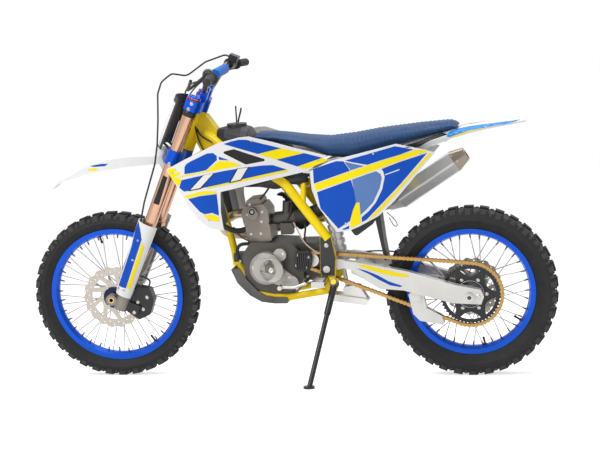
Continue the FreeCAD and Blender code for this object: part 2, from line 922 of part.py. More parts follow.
def head_shape():
    # Steering head tube with the gusset behind it, clear of both clamps
    foot = head_point(head_low)
    top = head_point(head_high)
    outline = scaled(gusset_shares, foot.x + gusset_setback, foot.z - gusset_drop,
                     gusset_length, gusset_height)
    gusset = slab(outline, -gusset_half_width, gusset_half_width)
    below = rod(head_point(head_low - 2 * overrun), foot, 2 * overrun)
    above = rod(top, head_point(head_high + 2 * overrun), 2 * overrun)
    return fused([rod(foot, top, head_radius), gusset.cut(below).cut(above)])


def frame_head():
    bore = rod(head_point(head_low - overrun), head_point(head_high + overrun),
               stem_radius + axle_clearance)
    return head_shape().cut(bore)


def spar_points(side):
    start = head_point(head_low + spar_head_share * (head_high - head_low)).x + spar_setback
    high = head_point(head_low + spar_head_share * (head_high - head_low)).z
    length = pivot_x + spar_end_setback - start
    low = pivot_z + spar_end_rise
    return [Vector(start + u * length, side * w * spar_half_width, low + h * (high - low))
            for u, w, h in spar_shares]


# Seat and tail
seat_x = 628.0
seat_z = 902.0
seat_length = 824.0
seat_height = 120.0
seat_half_width = 112.0
rail_shares = [(0.25, 0.82, -0.433), (0.573, 0.7, -0.05), (0.937, 0.553, 0.5)]
rail_radius = 11.0
rail_bend = 200.0
stub_drop = 14.0
brace_radius = 9.0
brace_setback = 40.0
brace_rise = 160.0
brace_start_x = pivot_x + brace_setback
brace_start_z = pivot_z + brace_rise
brace_end_share = 0.5
tail_tie_share = 0.97


def seat_place(u, v, w):
    return Vector(seat_x + u * seat_length, v * seat_half_width, seat_z + w * seat_height)


def rail_points(side):
    return [seat_place(u, side * v, w) for u, v, w in rail_shares]


def frame_spars():
    # Each main tube with its swingarm plate and the stub that carries the seat rails
    head = head_shape()
    sides = []
    for side in (-1, 1):
        points = spar_points(side)
        tube = pipe(points, spar_radius, spar_bend)
        outline = scaled(plate_shares, frame_plate_x, frame_plate_z,
                         frame_plate_length, frame_plate_height)
        low, high = sorted((side * frame_plate_inner, side * frame_plate_outer))
        plate = slab(outline, low, high, frame_plate_corner)
        stub_end = rail_points(side)[0] - Vector(0, 0, stub_drop)
        stub = rod(points[2] + (points[3] - points[2]) * stub_share, stub_end, stub_radius)
        pieces = [tube, plate, stub]
        if side < 0:
            pieces.append(stand_bracket())
        sides.append(fused(pieces).cut(head))
    mount = shock_mount()
    shaft = disc(pivot_x, pivot_z, pivot_shaft_radius + seat_gap / 2,
                 -2 * spar_half_width, 2 * spar_half_width)
    return fused([side.cut(shaft) for side in sides] + [mount])


pivot_nut_wall = 5.0


def pivot_shaft():
    end = frame_plate_outer + plate_thickness / 2 + plate_inset
    shaft = disc(pivot_x, pivot_z, pivot_shaft_radius, -end, end)
    nut = disc(pivot_x, pivot_z, pivot_shaft_radius + pivot_nut_wall,
               frame_plate_outer + seat_gap, end)
    return fused([shaft, nut, mirrored(nut)])


def subframe():
    # Seat rails: a top rail and a lower brace each side, tied across
    rails = []
    for side in (-1, 1):
        top = rail_points(side)
        rails.append(pipe(top, rail_radius, rail_bend))
        brace_start = Vector(brace_start_x, top[0].y, brace_start_z)
        rails.append(rod(brace_start, top[1] + (top[2] - top[1]) * brace_end_share, brace_radius))
    left = rail_points(-1)
    for point in (left[1], left[1] + (left[2] - left[1]) * tail_tie_share):
        rails.append(rod(point, Vector(point.x, -point.y, point.z), brace_radius))
    return fused(rails).cut(frame_spars())


cradle_shares = [
    (-0.035, 0.08, 1.08), (0.095, 0.5, 0.48), (0.25, 0.76, 0.1), (0.56, 0.8, 0.0),
]
cradle_x = 537.0
cradle_low = 342.0
cradle_high = 470.0
cradle_half_width = 97.0
cradle_bend = 80.0
cradle_end_setback = 24.0
downtube_shares = [(0.0, 0.0), (0.76, 0.632), (0.96, 0.869), (1.0, 1.0)]
downtube_setback = 74.0
downtube_drop = 45.0
downtube_foot_x = 516.0
downtube_foot_z = 462.0
downtube_bend = 120.0
cross_tube_radius = 11.0
cross_tube_drop = 5.0
rear_cross_setback = 16.0


def cradle_points(side):
    end = Vector(frame_plate_x + cradle_end_setback, side * cradle_half_width, frame_plate_z)
    length = end.x - cradle_x
    height = cradle_high - cradle_low
    return [Vector(cradle_x + u * length, side * w * cradle_half_width, cradle_low + h * height)
            for u, w, h in cradle_shares] + [end]


def cradle_shape(grow):
    tubes = [pipe(cradle_points(side), cradle_radius + grow, cradle_bend) for side in (-1, 1)]
    top = head_point(head_low) + Vector(downtube_setback, 0, -downtube_drop)
    down = [Vector(top.x + u * (downtube_foot_x - top.x), 0, top.z + w * (downtube_foot_z - top.z))
            for u, w in downtube_shares]
    return tubes + [pipe(down, downtube_radius + grow, downtube_bend)]


def across(x, z, half_width, radius):
    return rod(Vector(x, -half_width, z), Vector(x, half_width, z), radius)


def frame_cradle():
    # Down tube and the two tubes under the engine, with the lug of the shock's link
    front = cradle_points(1)[3]
    rear_x = frame_plate_x + rear_cross_setback
    pieces = cradle_shape(0)
    pieces.append(across(front.x, front.z - cross_tube_drop, front.y, cross_tube_radius))
    pieces.append(across(rear_x, frame_plate_z, cradle_half_width, cross_tube_radius))
    pieces.append(slab([
        (rear_x - cross_tube_radius, frame_plate_z), (rear_x + cross_tube_radius, frame_plate_z),
        (link_front_x + link_eye_radius, link_front_z - link_eye_radius),
        (link_front_x - link_eye_radius, link_front_z - link_eye_radius),
    ], -link_lug_half_width, link_lug_half_width))
    pin_room = across(link_front_x, link_front_z, cradle_half_width, link_pin_radius + seat_gap)
    return fused(pieces).cut(head_shape()).cut(frame_spars()).cut(pin_room)


# Engine
case_shares = [
    (0.04, 0.3), (0.15, 0.1), (0.5, 0.0), (0.9, 0.07), (1.0, 0.3),
    (1.0, 0.75), (0.82, 0.95), (0.15, 1.0), (0.0, 0.75),
]
case_x = 562.0
case_z = 358.0
case_length = 250.0
case_height = 214.0
case_half_width = 88.0
case_corner = 16.0
gearbox_shares = [(0.0, 0.1), (0.9, 0.0), (1.0, 0.5), (0.9, 1.0), (0.0, 1.0)]
gearbox_x = 780.0
gearbox_z = 398.0
gearbox_length = 106.0
gearbox_height = 160.0
gearbox_left = -52.0
gearbox_inset = 8.0
sprocket_room_gap = 18.0
engine_mount_shares = [(-0.2, 0.57), (0.06, 0.73)]
engine_mount_half_width = 25.0
sump_shares = [(0.6, -0.037), (0.84, 0.15)]
sump_side_share = 0.88


def case_point(shares, y):
    return Vector(case_x + shares[0] * case_length, y, case_z + shares[1] * case_height)


def case_outline():
    return scaled(case_shares, case_x, case_z, case_length, case_height)


def crankcase():
    main = slab(case_outline(), -case_half_width, case_half_width, case_corner)
    gearbox = slab(scaled(gearbox_shares, gearbox_x, gearbox_z, gearbox_length, gearbox_height),
                   gearbox_left, case_half_width - gearbox_inset, case_corner)
    mount = block(case_point(engine_mount_shares[0], -engine_mount_half_width),
                  case_point(engine_mount_shares[1], engine_mount_half_width))
    sump = block(case_point(sump_shares[0], -sump_side_share * case_half_width),
                 case_point(sump_shares[1], sump_side_share * case_half_width))
    whole = fused([main, gearbox, mount, sump])
    sprocket_room = disc(front_sprocket_x, front_sprocket_z,
                         pitch_radius(front_teeth) + sprocket_room_gap,
                         -2 * case_half_width, gearbox_left)
    return whole.cut(Part.makeCompound(cradle_shape(seat_gap))).cut(sprocket_room)


bore_axis_lean = 6.0
cylinder_x = 634.0
cylinder_half_length = 50.0
cylinder_half_width = 62.0
cylinder_height = 66.0
cylinder_corner = 8.0
head_height = 80.0
cover_height = 24.0
cylinder_foot = 6.0
head_section_shares = [
    (-1.08, 0.0), (1.0, 0.0), (1.08, 0.6), (0.76, 1.0), (-0.84, 1.0), (-1.16, 0.7),
]
cover_section_shares = [(-0.8, -0.08), (0.68, -0.08), (0.48, 1.0), (-0.56, 1.0)]
cover_side_share = 0.87
cam_end_share = 0.16
cam_end_drop = 34.0
cam_end_radius = 22.0
cam_end_reach = 12.0


def top_end_place(shape):
    base = Vector(cylinder_x, 0, case_z + case_height + seat_gap)
    shape.translate(base)
    shape.rotate(base, Vector(0, 1, 0), -bore_axis_lean)
    return shape


def cylinder():
    outline = [(-cylinder_half_length, -cylinder_foot), (cylinder_half_length, -cylinder_foot),
               (cylinder_half_length, cylinder_height), (-cylinder_half_length, cylinder_height)]
    barrel = slab(outline, -cylinder_half_width, cylinder_half_width, cylinder_corner)
    case = slab(case_outline(), -2 * case_half_width, 2 * case_half_width, case_corner)
    return top_end_place(barrel).cut(case)


def cylinder_head():
    low = cylinder_height
    high = low + head_height
    outline = scaled(head_section_shares, 0, low, cylinder_half_length, head_height)
    casting = slab(outline, -cylinder_half_width, cylinder_half_width, cylinder_corner)
    cam_end = disc(-cam_end_share * cylinder_half_length, high - cam_end_drop, cam_end_radius,
                   -cylinder_half_width - cam_end_reach, -cylinder_half_width + cam_end_reach / 2)
    cover = slab(scaled(cover_section_shares, 0, high, cylinder_half_length, cover_height),
                 -cylinder_half_width * cover_side_share, cylinder_half_width * cover_side_share,
                 cylinder_corner)
    return top_end_place(fused([casting, cam_end, cover]))


def cylinder_and_head():
    return fused([cylinder(), cylinder_head()])


stator_x = 664.0
stator_z = 470.0
stator_radius = 65.0
stator_reach = 138.0
stator_bevel = 14.0
stator_step = 4.0
stator_ring_share = 0.7
# Lobes of the generator cover: across, up, radius and reach, as shares of its radius
stator_lobe_shares = [(0.89, 0.8, 0.4, 0.4), (1.54, -0.95, 0.415, 0.46)]
stator_web_shares = [(0.15, -0.95), (1.54, -1.35), (1.9, -0.77), (0.92, 0.0)]
stator_web_share = 0.52
web_corner = 6.0


def stator_cover():
    # Round generator cover with a raised centre and its two bolted lobes
    base = -case_half_width - seat_gap
    rim_y = -stator_reach + stator_bevel
    pieces = [
        disc(stator_x, stator_z, stator_radius, rim_y, base),
        Part.makeCone(stator_radius, stator_radius - stator_bevel, stator_bevel,
                      Vector(stator_x, rim_y, stator_z), Vector(0, -1, 0)),
        disc(stator_x, stator_z, stator_radius * stator_ring_share,
             -stator_reach - stator_step, -stator_reach),
    ]
    for u, w, size, reach in stator_lobe_shares:
        pieces.append(disc(stator_x + u * stator_radius, stator_z + w * stator_radius,
                           size * stator_radius, -stator_reach + reach * stator_radius, base))
    web = scaled(stator_web_shares, stator_x, stator_z, stator_radius, stator_radius)
    pieces.append(slab(web, -stator_reach + stator_web_share * stator_radius, base, web_corner))
    return fused(pieces)


clutch_x = 730.0
clutch_z = 470.0
clutch_radius = 78.0
clutch_reach = 26.0
clutch_bevel = 12.0
clutch_front_shares = (-1.28, -0.256, 0.564)
clutch_front_reach = 20.0
clutch_web_shares = [(-1.667, -0.667), (-0.256, -0.923), (-0.256, 0.897), (-1.538, 0.256)]
clutch_web_reach = 16.0


def clutch_cover():
    base = case_half_width + seat_gap
    drum = disc(clutch_x, clutch_z, clutch_radius, base, base + clutch_reach)
    face = Part.makeCone(clutch_radius, clutch_radius - clutch_bevel, clutch_bevel,
                         Vector(clutch_x, base + clutch_reach, clutch_z), Vector(0, 1, 0))
    u, w, size = clutch_front_shares
    front = disc(clutch_x + u * clutch_radius, clutch_z + w * clutch_radius,
                 size * clutch_radius, base, base + clutch_front_reach)
    web = slab(scaled(clutch_web_shares, clutch_x, clutch_z, clutch_radius, clutch_radius),
               base, base + clutch_web_reach, web_corner)
    return fused([drum, face, front, web])


rib_cover_shares = [(0.1, 0.05), (0.85, 0.0), (1.0, 0.5), (0.9, 1.0), (0.15, 0.95), (0.0, 0.5)]
rib_cover_x = 776.0
rib_cover_z = 452.0
rib_cover_length = 72.0
rib_cover_height = 84.0
rib_cover_y = -116.0
rib_height = 8.0
rib_width = 5.0
rib_count = 6
rib_start_share = 0.16
rib_pitch_share = 0.12
rib_end_share = 0.12
rib_corner = 10.0


def sprocket_cover():
    # Black guard over the drive sprocket, with upright ribs
    inner = -case_half_width - seat_gap
    plate = slab(scaled(rib_cover_shares, rib_cover_x, rib_cover_z,
                        rib_cover_length, rib_cover_height),
                 rib_cover_y + rib_height, inner, rib_corner)
    low = rib_cover_z + rib_end_share * rib_cover_height
    high = rib_cover_z + (1 - rib_end_share) * rib_cover_height
    ribs = []
    for i in range(rib_count):
        x = rib_cover_x + rib_cover_length * (rib_start_share + rib_pitch_share * i)
        ribs.append(block(Vector(x, rib_cover_y, low),
                          Vector(x + rib_width, rib_cover_y + 2 * rib_height, high)))
    return fused([plate] + ribs)


drive_shaft_radius = 9.0


def front_sprocket():
    wheel = sprocket(front_teeth, chain_y, drive_shaft_radius)
    wheel.translate(Vector(front_sprocket_x, 0, front_sprocket_z))
    shaft = disc(front_sprocket_x, front_sprocket_z, drive_shaft_radius,
                 chain_y - sprocket_wall, gearbox_left - seat_gap)
    return fused([wheel, shaft])


# Places in the engine bay: shares of its length back from the crankcase's front to the
# swingarm pivot, of its half-width, and of its height over the pivot
bay_half_width = 100.0
bay_height = 400.0


def bay_point(u, v, w):
    return Vector(case_x + u * (pivot_x - case_x), v * bay_half_width, pivot_z + w * bay_height)


carb_shares = [(0.394, -0.2, 0.475), (0.651, -0.46, 0.5075)]
carb_radius = 27.0
bowl_shares = [(0.457, -0.62, 0.3275), (0.594, -0.16, 0.4425)]
tower_shares = [(0.523, -0.38, 0.4875), (0.543, -0.38, 0.6575)]
tower_radius = 19.0
spout_shares = [(0.314, -0.08, 0.465), (0.4, -0.205, 0.4755)]
intake_radius = 22.0
boot_wall = 4.0
boot_neck = 38.0
boot_bend = 60.0
boot_shares = [(0.949, -0.58, 0.5775), (1.149, -0.58, 0.6375)]


def carburettor():
    # Body, float bowl and slide tower between the head and the air box
    body = rod(bay_point(*carb_shares[0]), bay_point(*carb_shares[1]), carb_radius)
    bowl = block(bay_point(*bowl_shares[0]), bay_point(*bowl_shares[1]))
    tower = rod(bay_point(*tower_shares[0]), bay_point(*tower_shares[1]), tower_radius)
    spout = rod(bay_point(*spout_shares[0]), bay_point(*spout_shares[1]), intake_radius)
    return fused([body, bowl, tower, spout]).cut(cylinder_head()).cut(cylinder())


def intake_boot():
    rear = bay_point(*carb_shares[1])
    way = rear - bay_point(*carb_shares[0])
    way.normalize()
    start = rear + way * seat_gap
    path = [start, start + way * boot_neck] + [bay_point(*share) for share in boot_shares]
    return pipe(path, intake_radius + boot_wall, boot_bend)


header_radius = 19.0
header_bend = 60.0
header_shares = [
    (0.097, 0.2, 0.5275), (-0.12, 0.34, 0.5075), (-0.331, 0.58, 0.4125), (-0.314, 1.12, 0.2675),
    (-0.006, 1.26, 0.2375), (0.394, 1.34, 0.3275), (0.851, 1.52, 0.3925), (1.28, 1.56, 0.4425),
]


def exhaust_header():
    # Leaves the front of the head, loops round the down tube and runs back on the right
    end = silencer_point(silencer_inlet_x + overrun / 4, 0)
    points = [bay_point(*share) for share in header_shares] + [end]
    tube = pipe(points, header_radius, header_bend)
    return tube.cut(cylinder_head()).cut(radiators()).cut(silencer())


silencer_x = 1186.0
silencer_y = 132.0
silencer_z = 700.0
silencer_length = 268.0
silencer_slope = 32.6
silencer_half_height = 43.0
silencer_half_width = 52.0
silencer_section_shares = [
    (-1.0, 0.0), (-0.6, -1.0), (0.6, -1.0), (1.0, 0.0), (0.6, 1.0), (-0.6, 1.0),
]
silencer_corner = 14.0
silencer_inlet_x = -58.0
inlet_share = 0.5
inlet_end_share = 0.94
cap_length = 54.0
cap_share = 0.62
mouth_radius = 17.0
mouth_depth = 38.0
mouth_drop = 6.0


def silencer_point(x, z):
    turn = math.radians(silencer_slope)
    return Vector(silencer_x + x * math.cos(turn) - z * math.sin(turn), silencer_y,
                  silencer_z + x * math.sin(turn) + z * math.cos(turn))


def silencer_place(shape):
    base = Vector(silencer_x, silencer_y, silencer_z)
    shape.translate(base)
    shape.rotate(base, Vector(0, 1, 0), -silencer_slope)
    return shape


def silencer_section(x, grow):
    # Six-sided sleeve, wider across than it is tall
    points = [Vector(x, y * silencer_half_width * grow, z * silencer_half_height * grow)
              for y, z in silencer_section_shares]
    return bent_path(points, silencer_corner, True)


def silencer():
    sleeve = Part.makeLoft([silencer_section(0, 1), silencer_section(silencer_length, 1)], True, True)
    cone = Part.makeLoft([silencer_section(silencer_inlet_x, inlet_share),
                          silencer_section(0, inlet_end_share)], True, True)
    return silencer_place(fused([sleeve, cone]))


def silencer_cap():
    end = silencer_length + cap_length
    cap = Part.makeLoft([silencer_section(silencer_length + seat_gap, 1),
                         silencer_section(end, cap_share)], True, True)
    mouth = rod(Vector(end - mouth_depth, 0, -mouth_drop), Vector(end + overrun, 0, -mouth_drop),
                mouth_radius)
    return silencer_place(cap.cut(mouth))


radiator_low_x = 492.0
radiator_low_z = 648.0
radiator_high_x = 460.0
radiator_high_z = 862.0
radiator_thickness = 30.0
radiator_inner = 52.0
radiator_outer = 160.0
radiator_corner = 6.0


def radiators():
    half = radiator_thickness / 2
    outline = [(radiator_low_x - half, radiator_low_z), (radiator_low_x + half, radiator_low_z),
               (radiator_high_x + half, radiator_high_z), (radiator_high_x - half, radiator_high_z)]
    return both_sides(slab(outline, -radiator_outer, -radiator_inner, radiator_corner))


# Tank, seat and plastics
crown_shares = [(0.9, 0.0), (1.0, 0.42), (0.94, 0.7), (0.68, 0.9), (0.3, 1.0)]
# Distance back, half-width, underside and top, as shares of the tank
tank_shares = [
    (0.0, 0.5, 0.72, 0.95),
    (0.12, 0.74, 0.66, 0.99),
    (0.35, 0.92, 0.42, 0.99),
    (0.44, 1.0, 0.36, 0.95),
    (0.51, 1.0, 0.3, 0.74),
    (0.66, 1.0, 0.2, 0.68),
    (1.0, 0.8, 0.0, 0.54),
]
tank_x = 482.0
tank_z = 842.0
tank_length = 290.0
tank_height = 194.0
tank_half_width = 96.0
tank_cap_share = 0.255
tank_cap_radius = 40.0
tank_cap_height = 14.0
breather_radius = 3.0
breather_height = 70.0


def lofted(shares, x, z, length, height, half_width):
    sections = [crowned_section(x + u * length, w * half_width, z + low * height,
                                z + high * height, crown_shares)
                for u, w, low, high in shares]
    return Part.makeLoft(sections, True, True)


def fuel_tank():
    body = lofted(tank_shares, tank_x, tank_z, tank_length, tank_height, tank_half_width)
    top = Vector(tank_x + tank_cap_share * tank_length, 0, tank_z + tank_height - tank_cap_height / 2)
    cap = rod(top, top + Vector(0, 0, tank_cap_height), tank_cap_radius)
    breather = rod(top, top + Vector(0, 0, tank_cap_height + breather_height), breather_radius)
    tubes = [pipe(spar_points(side), spar_radius + seat_gap, spar_bend) for side in (-1, 1)]
    return fused([body, cap, breather]).cut(Part.makeCompound(tubes)).cut(head_shape())


# Distance back, half-width, underside and top, as shares of the seat
seat_shares = [
    (0.0, 0.6, 0.7, 0.825),
    (0.12, 0.7, 0.6, 0.758),
    (0.25, 0.82, 0.42, 0.667),
    (0.37, 0.93, 0.1, 0.6),
    (0.49, 1.0, 0.0, 0.675),
    (0.62, 0.98, 0.22, 0.808),
    (0.8, 0.88, 0.56, 0.925),
    (0.96, 0.66, 0.82, 1.0),
    (1.0, 0.55, 0.84, 0.925),
]


def seat():
    body = lofted(seat_shares, seat_x, seat_z, seat_length, seat_height, seat_half_width)
    return body.cut(fuel_tank())


shroud_shares = [
    (0.0, 0.675), (0.125, 0.77), (0.385, 0.945), (0.53, 0.995), (0.6, 1.0), (0.76, 0.925),
    (0.92, 0.84), (1.13, 0.745), (1.0, 0.59), (0.71, 0.51), (0.39, 0.42), (0.385, 0.2),
    (0.4, 0.0), (0.3, 0.03), (0.22, 0.13), (0.14, 0.31), (0.08, 0.48),
]
shroud_x = 303.0
shroud_z = 646.0
shroud_length = 558.0
shroud_height = 362.0
shroud_plan_shares = [
    (-0.02, 0.92), (0.2, 1.0), (0.45, 0.96), (0.75, 0.76), (1.02, 0.6), (1.22, 0.58),
]
shroud_half_width = 204.0
shroud_tilt = 0.06
vent_shares = [(0.41, 0.85), (0.5, 0.875), (0.73, 0.73), (0.575, 0.7)]
vent_corner = 5.0
shroud_peg_radius = 8.0
shroud_peg_share = 0.6


def shroud():
    # Thin side panel with its vent, on a peg that reaches the radiator behind it
    outline = scaled(shroud_shares, shroud_x, shroud_z, shroud_length, shroud_height)
    plan = [(shroud_x + u * shroud_length, -w * shroud_half_width) for u, w in shroud_plan_shares]
    panel = curved_panel(outline, plan, shroud_tilt, plastic_wall)
    vent = slab(scaled(vent_shares, shroud_x, shroud_z, shroud_length, shroud_height),
                -2 * shroud_half_width, 0, vent_corner)
    peg_place = radiator_low_z + shroud_peg_share * (radiator_high_z - radiator_low_z)
    middle = (radiator_low_x + radiator_high_x) / 2
    peg = disc(middle, peg_place, shroud_peg_radius, plastic_wall / 2 - shroud_half_width,
               -radiator_outer - seat_gap)
    return fused([panel.cut(vent), peg])


def shrouds():
    return both_sides(shroud())


panel_shares = [
    (0.0, 0.71), (0.01, 0.5), (0.055, 0.3), (0.2, 0.0), (0.3, 0.015), (0.385, 0.065),
    (0.54, 0.18), (0.67, 0.345), (0.87, 0.67), (1.0, 0.875), (0.93, 0.915), (0.7, 1.0),
    (0.235, 0.85), (0.17, 0.83),
]
panel_x = 864.0
panel_z = 615.0
panel_length = 493.0
panel_height = 340.0
panel_plan_shares = [(-0.1, 0.87), (0.1, 0.91), (0.35, 1.0), (0.65, 0.98), (1.05, 0.8)]
panel_half_width = 136.0
panel_tilt = 0.03
# What the right panel gives up to the exhaust, as shares of the panel
panel_cut_shares = [
    (-0.08, 0.17), (0.3, 0.19), (0.5, 0.3), (1.13, 0.88), (1.13, -0.34), (-0.08, -0.34),
]
panel_peg_share = 0.62
panel_peg_drop = 6.0


def side_panel():
    outline = scaled(panel_shares, panel_x, panel_z, panel_length, panel_height)
    plan = [(panel_x + u * panel_length, -w * panel_half_width) for u, w in panel_plan_shares]
    panel = curved_panel(outline, plan, panel_tilt, plastic_wall)
    points = rail_points(-1)
    root = points[0] + (points[1] - points[0]) * panel_peg_share
    peg = disc(root.x, root.z - panel_peg_drop, shroud_peg_radius,
               -panel_half_width + 2 * plastic_wall, root.y - rail_radius - 2 * seat_gap)
    return fused([panel, peg])


def side_panels():
    # The right one is cut away over the exhaust
    room = slab(scaled(panel_cut_shares, panel_x, panel_z, panel_length, panel_height),
                0, 2 * panel_half_width)
    return Part.makeCompound([side_panel(), mirrored(side_panel()).cut(room)])


# Distance back, rise, half-width and depth, as shares of the rear mudguard
rear_fender_shares = [
    (0.0, 0.0, 1.0, 1.0),
    (0.28, 0.4, 0.95, 0.8),
    (0.42, 0.6, 0.9, 0.6),
    (0.7, 0.85, 0.8, 0.4),
    (1.0, 1.0, 0.42, 0.2),
]
rear_fender_start_share = 0.73
rear_fender_low_share = 0.4
rear_fender_length = 473.0
rear_fender_rise = 74.0
rear_fender_half_width = 86.0
rear_fender_drop = 48.0


def rear_fender():
    start = seat_place(rear_fender_start_share, 0, rear_fender_low_share)
    stations = []
    for u, w, width_share, drop_share in rear_fender_shares:
        stations.append((
            start.x + u * rear_fender_length,
            start.z + w * rear_fender_rise,
            rear_fender_half_width * width_share,
            max(rear_fender_drop * drop_share, 3 * plastic_wall),
        ))
    return mudguard(stations, plastic_wall).cut(seat()).cut(subframe())


airbox_shares = [(0.0, 0.3), (0.25, 0.0), (0.55, 0.16), (0.85, 0.55), (1.0, 1.0), (0.0, 0.94)]
airbox_setback = 52.5
airbox_rise = 115.0
airbox_x = pivot_x + airbox_setback
airbox_z = pivot_z + airbox_rise
airbox_length = 240.0
airbox_height = 318.0
airbox_half_width = 62.0
airbox_corner = 14.0
snorkel_radius = 34.0
snorkel_length = 30.0
# The mud flap's outline, as shares of the air box
flap_shares = [
    (0.565, 0.264), (0.665, 0.264), (0.706, -0.063), (0.752, -0.308), (0.702, -0.32), (0.64, -0.063),
]
flap_half_width = 42.0


def airbox():
    # Air box under the seat, with the mud flap that hangs from it
    body = slab(scaled(airbox_shares, airbox_x, airbox_z, airbox_length, airbox_height),
                -airbox_half_width, airbox_half_width, airbox_corner)
    end = bay_point(*boot_shares[1])
    start = Vector(airbox_x, end.y + boot_wall, end.z)
    snorkel = rod(start, start + Vector(snorkel_length, 0, 0), snorkel_radius)
    flap = slab(scaled(flap_shares, airbox_x, airbox_z, airbox_length, airbox_height),
                -flap_half_width, flap_half_width)
    return fused([body, snorkel, flap]).cut(intake_boot()).cut(subframe())


# Guards and controls under the rider
skid_shares = [
    (0.0, 0.97), (0.1, 0.6), (0.32, 0.25), (0.53, 0.07), (0.77, 0.02), (1.0, 0.02),
    (1.0, 0.19), (0.78, 0.19), (0.62, 0.24), (0.46, 0.38), (0.28, 0.68), (0.16, 1.0),
]
skid_x = 516.0
skid_z = 318.0
skid_length = 224.0
skid_height = 150.0
skid_half_width = 100.0
skid_wall = 5.0
skid_front_share = 0.7


def skid_plate():
    # Tray under the engine, open above
    outline = scaled(skid_shares, skid_x, skid_z, skid_length, skid_height)
    tray = slab(outline, -skid_half_width, skid_half_width)
    pocket = [(x + skid_wall * skid_front_share, z + skid_wall) for x, z in outline]
    inner = slab(pocket, -skid_half_width + skid_wall, skid_half_width - skid_wall)
    tubes = Part.makeCompound(cradle_shape(seat_gap))
    return tray.cut(inner).cut(tubes).cut(crankcase())


guard_edge = 2.0
guard_foot = 6.0
guard_thickness = 5.0
guard_corner = 10.0
guard_hole_wall = 6.0
guard_stand_rise = 26.0


def frame_guards():
    # Black rub plates outside the swingarm plates
    outline = scaled(plate_shares, frame_plate_x + guard_edge, frame_plate_z + guard_foot,
                     frame_plate_length - 2 * guard_edge,
                     frame_plate_height - guard_foot - guard_thickness)
    outer = frame_plate_outer + seat_gap
    plate = slab(outline, -outer - guard_thickness, -outer, guard_corner)
    hole = disc(pivot_x, pivot_z, pivot_shaft_radius + guard_hole_wall, -2 * outer, 0)
    tube = pipe(spar_points(-1), spar_radius + seat_gap, spar_bend)
    plate = plate.cut(hole).cut(tube).cut(peg_lug(-1, seat_gap))
    stand_room = block(Vector(0, -2 * outer, 0),
                       Vector(wheelbase, 0, stand_pivot.z + guard_stand_rise))
    return Part.makeCompound([plate.cut(stand_room), mirrored(plate)])


peg_lead = 22.0
peg_drop = 41.0
peg_x = pivot_x - peg_lead
peg_z = pivot_z - peg_drop
peg_inner = 124.0
peg_length = 100.0
peg_half_width = 26.0
peg_half_height = 12.0
peg_wall = 7.0
peg_corner = 5.0
peg_root = 24.0
peg_lug_half_width = 14.0
peg_lug_drop = 16.0
peg_lug_rise = 4.0
peg_lug_overlap = 6.0
peg_tooth_count = 6
peg_tooth_share = 0.5
peg_tooth_height = 4.0


def peg_lug(side, grow):
    # Hinge block of a footpeg, against the frame plate
    half = peg_lug_half_width + grow
    low = peg_z - peg_lug_drop - grow
    high = peg_z + peg_lug_rise + grow
    return block(Vector(peg_x - half, side * (frame_plate_outer + seat_gap), low),
                 Vector(peg_x + half, side * (peg_inner + peg_lug_overlap), high))


def footpeg(side):
    # Open frame of a peg with a toothed top, and its hinge block
    outline = [(peg_x - peg_half_width, peg_z - peg_half_height),
               (peg_x + peg_half_width, peg_z - peg_half_height),
               (peg_x + peg_half_width, peg_z + peg_half_height),
               (peg_x - peg_half_width, peg_z + peg_half_height)]
    low, high = sorted((side * peg_inner, side * (peg_inner + peg_length)))
    frame = slab(outline, low, high, peg_corner)
    half = peg_half_width - peg_wall
    window = block(Vector(peg_x - half, side * (peg_inner + peg_root), peg_z - overrun),
                   Vector(peg_x + half, side * (peg_inner + peg_length - peg_wall), peg_z + overrun))
    frame = frame.cut(window)
    # Notches that leave teeth along the top edges
    pitch = (peg_length - peg_root) / peg_tooth_count
    for i in range(peg_tooth_count):
        start = peg_inner + peg_root + i * pitch
        frame = frame.cut(block(
            Vector(peg_x - overrun, side * start, peg_z + peg_half_height - peg_tooth_height),
            Vector(peg_x + overrun, side * (start + pitch * peg_tooth_share), peg_z + overrun)))
    return fused([frame, peg_lug(side, 0)])


def footpegs():
    return Part.makeCompound([footpeg(-1), footpeg(1)])


# Lever and pedal routes from the swingarm pivot, as shares of their reach and width
shift_radius = 6.5
shift_shaft_radius = 7.0
shift_tip_radius = 9.0
shift_outer_y = -150.0
shift_reach = 186.0
shift_shares = [(-0.473, 0.973, -0.285), (-0.71, 1.0, -0.36), (-1.0, 1.0, -0.35)]
shift_tip_inner = -138.0
shift_tip_outer = -172.0
pivot_point = Vector(pivot_x, 0, pivot_z)


def shift_lever():
    route = [pivot_point + Vector(u * shift_reach, v * shift_outer_y, w * shift_reach)
             for u, v, w in shift_shares]
    shaft = disc(route[0].x, route[0].z, shift_shaft_radius, shift_outer_y,
                 gearbox_left - seat_gap)
    tip = disc(route[-1].x, route[-1].z, shift_tip_radius, shift_tip_outer, shift_tip_inner)
    whole = fused([shaft, pipe(route, shift_radius, overrun), tip])
    return whole.cut(stator_cover()).cut(sprocket_cover()).cut(crankcase())


pedal_radius = 7.0
pedal_pin_radius = 9.0
pedal_tip_radius = 10.0
pedal_pin_gap = 3.6
pedal_pin_length = 26.0
pedal_inner = 20.0
pedal_reach = 177.0
pedal_outset = 12.0
pedal_shares = [(-0.158, 0.0, -0.39), (-0.52, 1.0, -0.458), (-1.0, 1.0, -0.39)]
pedal_tip_length = 34.0
pedal_bend = 50.0


